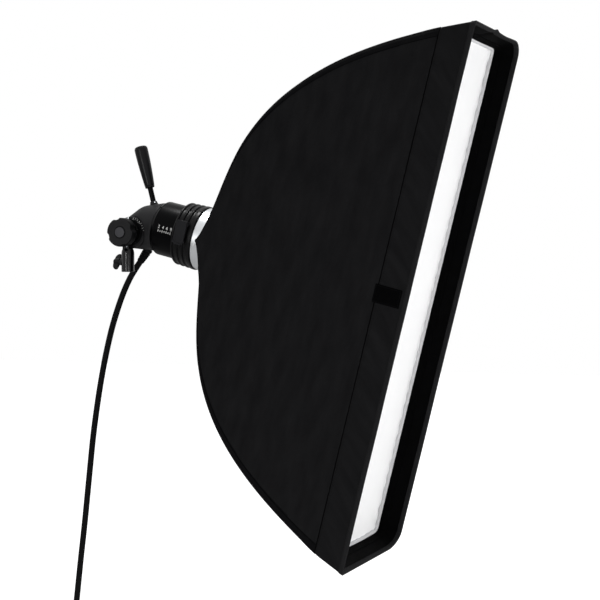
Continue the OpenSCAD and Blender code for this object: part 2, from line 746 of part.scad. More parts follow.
module clamp_latch() {
    lip_r = 2.7;
    edge = 1.2;
    over_pin = 4.4;
    back = -ear_r - ring_gap;
    front = back - latch_t;
    place = [latch_mid - latch_w / 2, -pin_y, pin_z];
    color("#1f1f20") at_head() translate(place) rotate([90, 0, 90]) difference() {
        union() {
            linear_extrude(latch_w) polygon([
                [front, over_pin - edge], [front + edge, over_pin], [back, over_pin], [back, edge - latch_len],
                [back - edge, -latch_len], [front, -latch_len]
            ]);
            translate([front, lip_r - latch_len, 0]) cylinder(r = lip_r, h = latch_w, $fn = 32);
            for (x = [0, latch_w - cheek_w]) translate([0, 0, x]) linear_extrude(cheek_w) polygon(concat(
                [[back - edge, cheek_r], [back - edge, -cheek_r]],
                [for (a = [-90 : 15 : 90]) cheek_r * [cos(a), sin(a)]]
            ));
        }
        translate([0, 0, -past]) cylinder(r = pin_r + run_fit, h = latch_w + 2 * past);
    }
}

// Ring, rod sockets, rods and what holds their ends
ring_edge = 0.7;
module speed_ring() {
    front = ring_seat + ring_len;
    seat = ring_seat + ring_gap;
    color("#d5d7d9") at_head() turned([
        [ring_bore_r, trap_rear], [trap_r, trap_rear], [trap_r, trap_front], [neck_r, trap_front],
        [neck_r, seat], [ring_r - ring_edge, seat], [ring_r, seat + ring_edge],
        [ring_r, front - ring_edge], [ring_r - ring_edge, front], [ring_bore_r, front]
    ]);
}
socket_floor = 2;
saddle_h = 16;
saddle_w = 9.5;
saddle_back = 0.5;
saddle_in = 6;
module rod_socket() {
    difference() {
        union() {
            translate(rod_foot) towards(rod_dir) translate([0, 0, -socket_floor])
                cylinder(r = socket_r, h = socket_len);
            translate([ring_len - saddle_back - saddle_w, ring_bore_r - saddle_in, rod_foot[2] - saddle_h / 2])
                cube([saddle_w, rod_foot[1] - ring_bore_r + saddle_in, saddle_h]);
        }
        translate(rod_foot) towards(rod_dir) cylinder(r = rod_r + rod_fit, h = socket_len);
        translate([-past, 0, 0]) rotate([0, 90, 0]) cylinder(r = ring_r + seat_gap / 2, h = ring_len + socket_len);
    }
}
module rod_sockets() color("#8f9294") in_box() each_corner() rod_socket();
module rod(y_sign, z_sign) color("#9a9da0") in_box() corner(y_sign, z_sign) tube(rod_path, rod_r, rod_sides);
module rod_near_top() rod(-1, 1);
module rod_near_bottom() rod(-1, -1);
module rod_far_top() rod(1, 1);
module rod_far_bottom() rod(1, -1);
tip_end_t = 4;
module rod_tips() {
    tip = rod_path[rod_rings];
    dir = unit(tip - rod_path[rod_rings - 1]);
    mouth = tip_end_t - tip_len;
    color("#202020") in_box() each_corner() translate(tip) towards(dir) difference() {
        translate([0, 0, mouth]) cylinder(r = tip_r, h = tip_len);
        translate([0, 0, mouth - past]) cylinder(r = rod_r + rod_fit, h = past - mouth + seat_gap);
    }
}
module corner_pockets() {
    color("#101010") in_box() intersection() {
        sheet_across(seam_x - seat_gap - pocket_t, pocket_t);
        each_corner() translate([0, seam_w - pocket_w, seam_h - pocket_w])
            cube([box_depth, box_width, box_height]);
    }
}

// Fabric shell, lip and diffusers
module near_panel() color("#141414") in_box() mirror([0, 1, 0]) side_panel();
module far_panel() color("#141414") in_box() side_panel();
module top_panel() color("#161616") in_box() cross_panel();
module bottom_panel() color("#161616") in_box() mirror([0, 0, 1]) cross_panel();
module front_lip() color("#121212") in_box() frame_band(0, fabric_t, seam_x, box_depth - binding_w - seat_gap);
module edge_binding() {
    proud = (binding_t - fabric_t) / 2;
    color("#1e1e1e") in_box() frame_band(-proud, fabric_t + proud, box_depth - binding_w, box_depth);
}
patch_start = 4;
module edge_patches() {
    from = seam_x + patch_start;
    color("#050505") in_box() union() {
        for (far = [0, 1]) mirror([0, far, 0]) intersection() {
            side_wall(-seam_gap - patch_t, -seam_gap);
            translate([from, 0, -patch_h / 2]) cube([patch_w, box_width, patch_h]);
        }
        for (low = [0, 1]) mirror([0, 0, low]) intersection() {
            top_wall(-seam_gap - patch_t, -seam_gap);
            translate([from, -patch_h / 2, 0]) cube([patch_w, patch_h, box_height]);
        }
    }
}
diffuser_ahead = 2;
diffuser_x = seam_x + diffuser_ahead;
hem_x = diffuser_x + diffuser_t + seat_gap;
tape_in = fabric_t + seam_gap;
hem_in = tape_in + tape_t + seam_gap;
module loop_tape() color("#0c0c0c") in_box() frame_band(tape_in, tape_in + tape_t, hem_x, hem_x + tape_w);
module front_diffuser() color("#f4f5f6") in_box() sheet_across(diffuser_x, diffuser_t);
module diffuser_hem() color("#d9dadb") in_box() frame_band(hem_in, hem_in + hem_t, hem_x, hem_x + hem_w);
module inner_diffuser() {
    color("#eceded") in_box() translate([inner_ahead, -inner_width / 2, -inner_height / 2])
        cube([diffuser_t, inner_width, inner_height]);
}
strap_t = 1.2;
strap_sewn = 15;
strap_room = 0.3;
module inner_straps() {
    anchor = rod_point(rod_t_at(inner_ahead));
    from = [inner_width / 2, inner_height / 2];
    dir = unit([anchor[1], anchor[2]] - from);
    length = norm([anchor[1], anchor[2]] - from) - rod_r - strap_room;
    color("#2c2c2c") in_box() each_corner() translate([inner_ahead + diffuser_t + seat_gap, from[0], from[1]])
        rotate([atan2(dir[1], dir[0]), 0, 0]) translate([0, -strap_sewn, -strap_w / 2])
        cube([strap_t, length + strap_sewn, strap_w]);
}

// Cable, its stored coil and its plug
module cable_run() color("#121212") tube(cable_curve, cable_r, cable_sides);
module cable_coil() color("#121212") tube(coil_path, cable_r, coil_sides);
tie_w = 18;
tie_t = 1.6;
tie_room = 0.3;
module cable_tie() {
    sag = tie_w * tie_w / 8 / coil_in_r + coil_pitch * climb / 4;
    low = coil_in_r - cable_r - sag - tie_room;
    tall = coil_r + cable_r + tie_room - low;
    wide = (coil_layers - 1) * coil_pitch + cable_d + 2 * tie_room;
    color("#2e2e2e") translate(coil_mid + [-tie_w / 2, -cable_r - tie_room, low]) difference() {
        translate([0, -tie_t, -tie_t]) cube([tie_w, wide + 2 * tie_t, tall + 2 * tie_t]);
        translate([-past, 0, 0]) cube([tie_w + 2 * past, wide, tall]);
    }
}
plug_relief_len = 28;
plug_relief_foot = 4;
plug_groove = 3;
plug_groove_h = 1.5;
shell_len = 16;
shell_wall = 2.5;
shell_floor = 3;
shell_rim = 2;
shell_r = plug_r + shell_rim;
contact_r = 2;
contact_ring_r = 9;
contact_count = 6;
module at_plug(s) translate(tail_end - [0, 0, s + seat_gap]) mirror([0, 0, 1]) children();
module plug_relief() {
    color("#161616") at_plug(0) rotate_extrude() polygon([
        [0, 0], [cable_r + relief_tip_t, 0], [cable_r + plug_relief_foot, plug_relief_len - plug_relief_foot],
        [cable_r + plug_relief_foot, plug_relief_len], [0, plug_relief_len]
    ]);
}
module plug_body() {
    color("#1a1a1a") at_plug(plug_relief_len) rotate_extrude() polygon([
        [0, 0], [plug_r - plug_groove, 0], [plug_r, plug_groove], [plug_r, plug_len - 3 * plug_groove],
        [plug_r - plug_groove_h, plug_len - 3 * plug_groove + plug_groove_h],
        [plug_r - plug_groove_h, plug_len - plug_groove - plug_groove_h],
        [plug_r, plug_len - plug_groove], [plug_r, plug_len], [0, plug_len]
    ]);
}
module plug_pins() {
    color("#b9bbbd") at_plug(plug_relief_len + plug_len) union() {
        rotate_extrude() polygon([
            [0, 0], [shell_r, 0], [shell_r, shell_len], [shell_r - shell_wall, shell_len],
            [shell_r - shell_wall, shell_floor], [0, shell_floor]
        ]);
        for (i = [0 : contact_count - 1]) rotate(360 * i / contact_count)
            translate([contact_ring_r, 0, 0]) cylinder(r = contact_r, h = shell_len - shell_floor, $fn = 24);
    }
}

stand_bracket();
friction_washer();
thrust_washer();
wing_screw();
wing_grip();
tilt_bolt();
tilt_knob();
knob_cap();
tilt_hub();
rear_housing();
barrel();
handle_rod();
handle_grip();
cable_gland();
lamp_base();
lamp_socket();
modelling_lamp();
flash_tube();
glass_dome();
clamp_collar();
latch_pin();
clamp_latch();
speed_ring();
rod_sockets();
rod_near_top();
rod_near_bottom();
rod_far_top();
rod_far_bottom();
rod_tips();
corner_pockets();
near_panel();
far_panel();
top_panel();
bottom_panel();
front_lip();
edge_binding();
edge_patches();
loop_tape();
front_diffuser();
diffuser_hem();
inner_diffuser();
inner_straps();
cable_run();
cable_coil();
cable_tie();
plug_relief();
plug_body();
plug_pins();
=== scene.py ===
# Strip softbox on its flash head: fabric, cable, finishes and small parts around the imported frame.
import json
import math

import bmesh
import bpy
import numpy as np
from mathutils import Matrix, Vector, noise

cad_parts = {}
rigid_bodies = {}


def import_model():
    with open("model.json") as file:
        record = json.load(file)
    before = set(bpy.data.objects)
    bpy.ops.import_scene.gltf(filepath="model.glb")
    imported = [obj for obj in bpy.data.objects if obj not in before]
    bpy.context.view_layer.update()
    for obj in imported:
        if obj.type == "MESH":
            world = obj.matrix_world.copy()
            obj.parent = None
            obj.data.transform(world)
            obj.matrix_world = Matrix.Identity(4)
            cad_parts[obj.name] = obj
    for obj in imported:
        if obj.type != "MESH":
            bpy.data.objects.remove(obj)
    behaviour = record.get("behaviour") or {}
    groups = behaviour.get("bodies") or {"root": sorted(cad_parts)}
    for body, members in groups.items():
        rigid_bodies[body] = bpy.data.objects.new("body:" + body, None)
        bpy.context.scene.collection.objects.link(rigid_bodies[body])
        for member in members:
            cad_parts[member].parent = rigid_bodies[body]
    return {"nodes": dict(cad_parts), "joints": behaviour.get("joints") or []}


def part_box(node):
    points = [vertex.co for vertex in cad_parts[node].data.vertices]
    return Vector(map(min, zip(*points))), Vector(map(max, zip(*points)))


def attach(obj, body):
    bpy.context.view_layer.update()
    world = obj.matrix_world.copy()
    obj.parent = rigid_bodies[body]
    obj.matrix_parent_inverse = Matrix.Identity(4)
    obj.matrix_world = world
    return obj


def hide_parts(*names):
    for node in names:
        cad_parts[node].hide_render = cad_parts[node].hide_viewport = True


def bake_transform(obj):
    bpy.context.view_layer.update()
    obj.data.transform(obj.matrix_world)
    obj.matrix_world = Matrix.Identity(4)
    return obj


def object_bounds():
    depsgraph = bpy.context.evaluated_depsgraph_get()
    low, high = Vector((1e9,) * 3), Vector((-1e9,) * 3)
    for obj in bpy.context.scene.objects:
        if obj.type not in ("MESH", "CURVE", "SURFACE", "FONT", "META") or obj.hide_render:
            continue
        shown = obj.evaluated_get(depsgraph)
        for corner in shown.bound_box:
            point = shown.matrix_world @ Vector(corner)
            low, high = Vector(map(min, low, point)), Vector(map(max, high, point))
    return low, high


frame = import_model()
cad_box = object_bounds()

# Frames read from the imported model: x ahead along the barrel, y away from the knob, z up and square to both
MM = 0.001
joints = {joint["name"]: joint for joint in frame["joints"]}
forward = Vector(joints["softbox_turn"]["axis"]).normalized()
across = Vector((0, 1, 0))
upward = forward.cross(across)
down = Vector((0, 0, -1))
tilt_point = Vector(joints["head_tilt"]["pos_m"])
ring_point = Vector(joints["softbox_turn"]["pos_m"])


def frame_at(origin, x_axis=forward, y_axis=across):
    """A matrix to the row frame from a frame with that origin and those x and y axes."""
    axes = Matrix((x_axis, y_axis, x_axis.cross(y_axis))).transposed()
    return Matrix.Translation(origin) @ axes.to_4x4()


def reach(node, origin, direction):
    """Lowest and highest place of a CAD node along a direction from an origin, in millimetres."""
    places = [(v.co - origin).dot(direction) / MM for v in frame["nodes"][node].data.vertices]
    return min(places), max(places)


head_frame = frame_at(tilt_point)
box_frame = frame_at(ring_point)
lock_frame = frame_at(tilt_point, -across, forward)

# Camera, fitted to the four front corners and the barrel
camera_place = Vector((1.323, -2.5836, 0.0367))
camera_look = Vector((-0.3594, 0.9327, -0.03))
focal_length_px = 1625.6
image_px = 600
sensor_mm = 36


def make_camera():
    """The photograph's camera."""
    data = bpy.data.cameras.new("camera")
    data.sensor_width = sensor_mm
    data.lens = focal_length_px * sensor_mm / image_px
    camera = bpy.data.objects.new("camera", data)
    camera.location = camera_place
    camera.rotation_euler = camera_look.to_track_quat("-Z", "Y").to_euler()
    bpy.context.scene.collection.objects.link(camera)
    bpy.context.scene.camera = camera


make_camera()


# Nodes and colours
def linear(colour):
    """An sRGB hex colour as linear red, green, blue and alpha."""
    shares = [int(colour[i:i + 2], 16) / 255 for i in (1, 3, 5)]
    return tuple(s / 12.92 if s <= 0.04045 else ((s + 0.055) / 1.055) ** 2.4 for s in shares) + (1.0,)


def add(tree, kind, inputs=None, **settings):
    """A new node with its settings, and with its inputs set to values or linked to other nodes' outputs."""
    node = tree.nodes.new(kind)
    for name, value in settings.items():
        setattr(node, name, value)
    for name, value in (inputs or {}).items():
        if isinstance(value, bpy.types.NodeSocket):
            tree.links.new(value, node.inputs[name])
        else:
            node.inputs[name].default_value = value
    return node


def finish(name, colour, roughness, **sockets):
    """A new material with its Principled shader's even values set: returns it with its tree and shader."""
    material = bpy.data.materials.new(name)
    material.use_nodes = True
    tree = material.node_tree
    shader = tree.nodes["Principled BSDF"]
    shader.inputs["Base Color"].default_value = linear(colour)
    shader.inputs["Roughness"].default_value = roughness
    for label, value in sockets.items():
        shader.inputs[label.replace("_", " ")].default_value = value
    return material, tree, shader


def waves_every(pitch_mm):
    """The scale at which a wave texture repeats at that pitch."""
    return 2 * math.pi / (20 * pitch_mm * MM)


def spots_of(size_mm):
    """The scale at which a noise texture's spots have about that size."""
    return 1 / (size_mm * MM)


def mottled(tree, shader, vector, size_mm, dark, light):
    """Base colour that drifts between two tones in spots of that size."""
    spots = add(tree, "ShaderNodeTexNoise", {"Vector": vector, "Scale": spots_of(size_mm), "Detail": 4.0})
    tones = add(tree, "ShaderNodeMix", {"Factor": spots.outputs["Fac"]}, data_type="RGBA")
    tones.inputs["A"].default_value = linear(dark)
    tones.inputs["B"].default_value = linear(light)
    colour = [s for s in tones.outputs if s.type == "RGBA"][0]
    tree.links.new(colour, shader.inputs["Base Color"])


def raised(tree, shader, height, strength, depth_mm):
    """Bump that follows a height, that many millimetres deep."""
    bump = add(tree, "ShaderNodeBump", {"Height": height, "Strength": strength, "Distance": depth_mm * MM})
    tree.links.new(bump.outputs["Normal"], shader.inputs["Normal"])


def rubbed(tree, shader, value, least, most):
    """Roughness that drifts between two values."""
    rub = add(tree, "ShaderNodeMapRange", {"Value": value, "To Min": least, "To Max": most})
    tree.links.new(rub.outputs["Result"], shader.inputs["Roughness"])


def woven(tree, uv, pitch_mm, distortion, detail_scale):
    """The height of a plain weave whose threads lie that far apart."""
    threads = {"Vector": uv, "Scale": waves_every(pitch_mm), "Distortion": distortion,
               "Detail Scale": detail_scale}
    warp = add(tree, "ShaderNodeTexWave", threads)
    weft = add(tree, "ShaderNodeTexWave", threads, bands_direction="Y")
    return add(tree, "ShaderNodeMath", {0: warp.outputs["Fac"], 1: weft.outputs["Fac"]}, operation="MULTIPLY")


# Fabrics
def black_nylon(name, dark, light):
    """Coated nylon canvas, plain woven: a dull charcoal, with long paler and darker bands that are painted
    fold shade.
    The threads are drawn 1.8 mm apart, coarser than real ones, so that they show."""
    material, tree, shader = finish(name, dark, 0.85, Specular_IOR_Level=0.02)
    uv = add(tree, "ShaderNodeUVMap").outputs["UV"]
    weave = woven(tree, uv, 1.8, 1.2, 1.5)
    # Long stretched tones: painted shade of folds in the cloth
    fold_shade_streaks = add(tree, "ShaderNodeMapping", {"Vector": uv, "Scale": (1.0, 0.3, 1.0)})
    mottled(tree, shader, fold_shade_streaks.outputs["Vector"], 20, dark, light)
    slubs = add(tree, "ShaderNodeTexNoise", {"Vector": uv, "Scale": spots_of(5), "Detail": 3.0})
    height = add(tree, "ShaderNodeMath", {0: weave.outputs[0], 1: slubs.outputs["Fac"]}, operation="ADD")
    raised(tree, shader, height.outputs[0], 0.55, 0.35)
    return material


def silver_lining():
    """Aluminised lining inside the shell: a soft metal gleam broken by fine creases."""
    material, tree, shader = finish("silver_lining", "#b9bcc0", 0.42, Metallic=0.8)
    uv = add(tree, "ShaderNodeUVMap").outputs["UV"]
    creases = add(tree, "ShaderNodeTexNoise", {"Vector": uv, "Scale": spots_of(9), "Detail": 6.0,
                                               "Distortion": 0.8})
    raised(tree, shader, creases.outputs["Fac"], 0.4, 0.8)
    return material


def grosgrain_tape(name, colour, light):
    """Ribbed polyester tape, woven with ribs across it every 1.5 mm, its tone drifting a little."""
    material, tree, shader = finish(name, colour, 0.75, Specular_IOR_Level=0.05)
    uv = add(tree, "ShaderNodeUVMap").outputs["UV"]
    ribs = add(tree, "ShaderNodeTexWave", {"Vector": uv, "Scale": waves_every(1.5), "Distortion": 0.4})
    mottled(tree, shader, uv, 10, colour, light)
    raised(tree, shader, ribs.outputs["Fac"], 0.6, 0.3)
    return material


def loop_pile():
    """Brushed loop tape: a deep matt black pile of curls under 1 mm."""
    material, tree, shader = finish("loop_pile", "#060606", 1.0, Specular_IOR_Level=0.02)
    place = add(tree, "ShaderNodeTexCoord").outputs["Object"]
    curls = add(tree, "ShaderNodeTexVoronoi", {"Vector": place, "Scale": spots_of(0.9)})
    mottled(tree, shader, place, 4, "#020202", "#070708")
    raised(tree, shader, curls.outputs["Distance"], 0.9, 0.5)
    return material


def white_diffuser_cloth():
    """Calendered white nylon: a smooth even white with a soft sheen and a weave that barely shows."""
    material, tree, shader = finish("white_diffuser_cloth", "#f6f6f6", 0.6, Specular_IOR_Level=0.1)
    uv = add(tree, "ShaderNodeUVMap").outputs["UV"]
    weave = woven(tree, uv, 2.0, 0.6, 1.0)
    mottled(tree, shader, uv, 60, "#f2f2f3", "#f9f9f9")
    raised(tree, shader, weave.outputs[0], 0.2, 0.15)
    return material


def sewing_thread(name, colour):
    """Bonded polyester thread: a faint gloss, twisted."""
    material, tree, shader = finish(name, colour, 0.6, Specular_IOR_Level=0.06)
    place = add(tree, "ShaderNodeTexCoord").outputs["Object"]
    twist = add(tree, "ShaderNodeTexNoise", {"Vector": place, "Scale": spots_of(0.6)})
    raised(tree, shader, twist.outputs["Fac"], 0.3, 0.1)
    return material


# Metals, plastics and rubbers
def moulded_black(name, colour, light, roughness, specular, grain_mm, depth):
    """Black ABS, nylon or paint on a casting: an even skin with a fine pebble, worn smoother in patches."""
    material, tree, shader = finish(name, colour, roughness, Specular_IOR_Level=specular)
    place = add(tree, "ShaderNodeTexCoord").outputs["Object"]
    mottled(tree, shader, place, 22, colour, light)
    worn = add(tree, "ShaderNodeTexNoise", {"Vector": place, "Scale": spots_of(16), "Detail": 3.0})
    rubbed(tree, shader, worn.outputs["Fac"], roughness - 0.06, roughness + 0.08)
    pebble = add(tree, "ShaderNodeTexNoise", {"Vector": place, "Scale": spots_of(grain_mm), "Detail": 2.0})
    raised(tree, shader, pebble.outputs["Fac"], depth, 0.12)
    return material


def powder_coat():
    """Powder coat on aluminium: satin black with a fine orange peel, about 1 mm across."""
    material, tree, shader = finish("powder_coat", "#030304", 0.3, Specular_IOR_Level=0.04)
    place = add(tree, "ShaderNodeTexCoord").outputs["Object"]
    mottled(tree, shader, place, 18, "#030304", "#050506")
    peel = add(tree, "ShaderNodeTexNoise", {"Vector": place, "Scale": spots_of(1.1), "Detail": 2.0})
    raised(tree, shader, peel.outputs["Fac"], 0.18, 0.1)
    return material


def turned_metal(name, colour, roughness, line_mm, strength):
    """Bare metal from the lathe, polished: a bright streaky gleam with fine lines round the part."""
    material, tree, shader = finish(name, colour, roughness, Metallic=1.0, Anisotropic=0.4)
    uv = add(tree, "ShaderNodeUVMap").outputs["UV"]
    stretched = add(tree, "ShaderNodeMapping", {"Vector": uv, "Scale": (0.02, 1.0, 1.0)})
    lines = add(tree, "ShaderNodeTexNoise", {"Vector": stretched.outputs["Vector"],
                                             "Scale": spots_of(line_mm), "Detail": 5.0})
    rubbed(tree, shader, lines.outputs["Fac"], roughness * 0.6, roughness * 1.5)
    raised(tree, shader, lines.outputs["Fac"], strength, 0.1)
    return material


def plated_steel(name, colour, roughness):
    """Zinc-plated or drawn steel: grey-white, faintly cloudy."""
    material, tree, shader = finish(name, colour, roughness, Metallic=1.0)
    place = add(tree, "ShaderNodeTexCoord").outputs["Object"]
    cloud = add(tree, "ShaderNodeTexNoise", {"Vector": place, "Scale": spots_of(3), "Detail": 4.0})
    rubbed(tree, shader, cloud.outputs["Fac"], roughness * 0.7, roughness * 1.3)
    raised(tree, shader, cloud.outputs["Fac"], 0.1, 0.05)
    return material


def cable_rubber():
    """Extruded rubber sheath: matt black, faintly dusty, with a fine grain along it."""
    material, tree, shader = finish("cable_rubber", "#0c0c0d", 0.6, Specular_IOR_Level=0.04)
    uv = add(tree, "ShaderNodeUVMap").outputs["UV"]
    mottled(tree, shader, uv, 30, "#0a0a0b", "#121213")
    drawn = add(tree, "ShaderNodeMapping", {"Vector": uv, "Scale": (1.0, 0.1, 1.0)})
    grain = add(tree, "ShaderNodeTexNoise", {"Vector": drawn.outputs["Vector"], "Scale": spots_of(0.8),
                                             "Detail": 3.0})
    raised(tree, shader, grain.outputs["Fac"], 0.2, 0.1)
    return material


def white_print():
    """Screen-printed white ink: flat and slightly chalky."""
    material, tree, shader = finish("white_print", "#d8d8d6", 0.7, Specular_IOR_Level=0.2)
    place = add(tree, "ShaderNodeTexCoord").outputs["Object"]
    mottled(tree, shader, place, 3, "#c9c9c7", "#e2e2e0")
    return material


def glazed_ceramic():
    """Glazed white ceramic: off-white, glossy, with faint specks."""
    material, tree, shader = finish("glazed_ceramic", "#dedbd2", 0.25)
    place = add(tree, "ShaderNodeTexCoord").outputs["Object"]
    mottled(tree, shader, place, 6, "#d9d6cc", "#e6e4dd")
    return material


def lamp_glass(name, colour, roughness, clear):
    """Blown glass: clear or frosted, thin and faintly uneven."""
    material, tree, shader = finish(name, colour, roughness, Transmission_Weight=clear, IOR=1.47)
    place = add(tree, "ShaderNodeTexCoord").outputs["Object"]
    uneven = add(tree, "ShaderNodeTexNoise", {"Vector": place, "Scale": spots_of(15)})
    raised(tree, shader, uneven.outputs["Fac"], 0.05, 0.2)
    return material


# The shell cloth's long paler and darker bands are painted fold shade
shell_nylon = black_nylon("black_shell_nylon", "#0f0f10", "#1f1f20")
# A darker copy of the shell cloth: painted shade along the side panels' edges
edge_shade_nylon = black_nylon("black_sleeve_nylon", "#0a0a0b", "#131314")
# Near-black inside of the lip: a darker lining whose tone also stands in for the shade inside the lip
lip_lining_and_shade = black_nylon("black_lip_lining", "#020202", "#060607")
lining = silver_lining()
binding_tape = grosgrain_tape("binding_tape", "#19191a", "#232324")
dark_webbing = grosgrain_tape("dark_webbing", "#151516", "#1d1d1e")
pile = loop_pile()
diffuser_cloth = white_diffuser_cloth()
# Pale grey tape for the diffuser's hem: its grey is painted shade from the lip
hem_elastic = grosgrain_tape("hem_elastic", "#c6c6c8", "#dadadc")
black_thread = sewing_thread("black_thread", "#0c0c0d")
barrel_coat = powder_coat()
housing_plastic = moulded_black("housing_plastic", "#1e1e1f", "#272728", 0.5, 0.08, 0.9, 0.25)
collar_plastic = moulded_black("collar_plastic", "#09090a", "#0f0f10", 0.32, 0.1, 0.8, 0.15)
cap_plastic = moulded_black("cap_plastic", "#404043", "#49494c", 0.45, 0.06, 0.7, 0.2)
latch_plastic = moulded_black("latch_plastic", "#1d1d1f", "#232325", 0.55, 0.05, 0.7, 0.3)
knob_plastic = moulded_black("knob_plastic", "#0e0e0f", "#141415", 0.5, 0.04, 0.7, 0.2)
# A lighter copy of the knob's black: painted light on the knob's face, whose sides stay dark
knob_face_painted_light = moulded_black("knob_face_texture", "#242425", "#2b2b2c", 0.65, 0.03, 0.7, 0.4)
grip_plastic = moulded_black("grip_plastic", "#0c0c0d", "#121213", 0.3, 0.12, 1.2, 0.08)
soft_rubber = moulded_black("soft_rubber", "#0d0d0e", "#131314", 0.65, 0.04, 1.0, 0.3)
cast_bracket = moulded_black("cast_bracket", "#040405", "#070708", 0.1, 0.24, 1.4, 0.03)
ring_metal = turned_metal("polished_aluminium", "#d0d2d4", 0.34, 0.7, 0.12)
rod_steel = turned_metal("drawn_steel", "#8e9194", 0.35, 0.8, 0.1)
bright_steel = plated_steel("zinc_plated_steel", "#c3c5c8", 0.28)
cable_sheath = cable_rubber()
print_ink = white_print()
ceramic = glazed_ceramic()
clear_glass = lamp_glass("clear_lamp_glass", "#eef4f6", 0.05, 1.0)
frosted_glass = lamp_glass("frosted_lamp_glass", "#f3efe2", 0.5, 0.6)


# Meshes
def new_piece(name, mesh, *materials):
    """A mesh as an object in the scene, with its materials."""
    for material in materials:
        mesh.materials.append(material)
    piece = bpy.data.objects.new(name, mesh)
    bpy.context.scene.collection.objects.link(piece)
    return piece


def smooth(piece, angle=38):
    """Smooth shading, with the edges sharper than the angle kept crisp."""
    piece.data.shade_smooth()
    piece.data.set_sharp_from_angle(angle=math.radians(angle))
    return piece


def baked(piece):
    """The piece with its modifiers made into a plain mesh."""
    bpy.context.view_layer.update()
    evaluated = piece.evaluated_get(bpy.context.evaluated_depsgraph_get())
    mesh = bpy.data.meshes.new_from_object(evaluated)
    piece.modifiers.clear()
    piece.data = mesh
    return piece


def clean(piece, outwards=True):
    """Merges doubled points and, on a closed shape, turns its faces outwards."""
    shape = bmesh.new()
    shape.from_mesh(piece.data)
    bmesh.ops.remove_doubles(shape, verts=shape.verts, dist=0.01 * MM)
    bmesh.ops.dissolve_degenerate(shape, edges=shape.edges, dist=0.001 * MM)
    if outwards:
        bmesh.ops.recalc_face_normals(shape, faces=shape.faces)
    shape.to_mesh(piece.data)
    shape.free()
    return piece


def grid_piece(name, grid, matrix, *materials, uv=None, close_rows=False, close_columns=False):
    """A mesh of quads over rows of points in millimetres, with a UV map in metres along the surface."""
    grid = np.asarray(grid, float)
    rows, columns = grid.shape[:2]
    wrapped = np.concatenate([grid, grid[:1]]) if close_rows else grid
    wrapped = np.concatenate([wrapped, wrapped[:, :1]], axis=1) if close_columns else wrapped
    if uv is None:
        over = np.linalg.norm(np.diff(wrapped, axis=1, prepend=wrapped[:, :1]), axis=2).cumsum(1)
        along = np.linalg.norm(np.diff(wrapped, axis=0, prepend=wrapped[:1]), axis=2).cumsum(0)
        uv = np.stack([over, along], axis=2)
    mesh = bpy.data.meshes.new(name)
    place = np.array(matrix)
    points = grid.reshape(-1, 3) * MM @ place[:3, :3].T + place[:3, 3]
    faces, corners = [], []
    for i in range(wrapped.shape[0] - 1):
        for j in range(wrapped.shape[1] - 1):
            square = ((i, j), (i + 1, j), (i + 1, j + 1), (i, j + 1))
            faces.append([(a % rows) * columns + b % columns for a, b in square])
            corners += square
    mesh.from_pydata(points.tolist(), [], faces)
    layer = mesh.uv_layers.new(name="cloth")
    corners = np.array(corners)
    layer.data.foreach_set("uv", (uv[corners[:, 0], corners[:, 1]] * MM).astype(np.float32).ravel())
    return new_piece(name, mesh, *materials)


def cap_ends(piece):
    """Closes a mesh's open ends with flat faces."""
    shape = bmesh.new()
    shape.from_mesh(piece.data)
    bmesh.ops.holes_fill(shape, edges=[e for e in shape.edges if e.is_boundary])
    shape.to_mesh(piece.data)
    shape.free()


def walled(piece, thickness, offset, lining_slots=0):
    """A sheet given a thickness, inwards at offset -1. Its inside takes the material some slots on."""
    wall = piece.modifiers.new("wall", "SOLIDIFY")
    wall.thickness = thickness * MM
    wall.offset = offset
    wall.material_offset = lining_slots
    return baked(piece)


def rounded(points, radius, steps=4, *, closed):
    """A polyline whose corners are turned into curves of about that radius."""
    points = [Vector(p) for p in points]
    result = []
    for i, corner in enumerate(points):
        if not closed and i in (0, len(points) - 1):
            result.append(corner)
            continue
        back = points[i - 1] - corner
        ahead = points[(i + 1) % len(points)] - corner
        start = corner + back.normalized() * min(radius, 0.45 * back.length)
        end = corner + ahead.normalized() * min(radius, 0.45 * ahead.length)
        for k in range(steps + 1):
            u = k / steps
            result.append((1 - u) ** 2 * start + 2 * u * (1 - u) * corner + u * u * end)
    return result


def turned(name, profile, matrix, material, edge, segments=128, closed=False, gap=0, gap_at=0, angle=38):
    """A piece turned about its frame's x axis from (radius, along) points, opened by a gap in degrees."""
    outline = rounded(profile, edge, closed=closed)
    count = segments if gap == 0 else segments + 1
    turns = [math.radians(gap_at + gap / 2 + (360 - gap) * k / segments) for k in range(count)]
    grid = [[(x, r * math.cos(a), r * math.sin(a)) for a in turns] for r, x in outline]
    piece = grid_piece(name, grid, matrix, material, close_rows=closed, close_columns=gap == 0)
    if gap:
        cap_ends(piece)
    return smooth(clean(piece), angle)


def tube(name, points, radius, sides, matrix, material, closed=False):
    """A round tube along points in millimetres, with flat ends unless it closes on itself."""
    points = [Vector(p) for p in points]
    last = len(points) - 1
    side = Vector((0.31, 0.91, 0.27))
    grid = []
    for i, point in enumerate(points):
        before = points[i - 1] if closed or i > 0 else point
        after = points[(i + 1) % len(points)] if closed or i < last else point
        run = (after - before).normalized()
        side = (side - side.dot(run) * run).normalized()
        other = run.cross(side)
        turns = [2 * math.pi * k / sides for k in range(sides)]
        grid.append([point + radius * (math.cos(a) * side + math.sin(a) * other) for a in turns])
    piece = grid_piece(name, grid, matrix, material, close_rows=closed, close_columns=True)
    if not closed:
        cap_ends(piece)
    return smooth(clean(piece), 50)


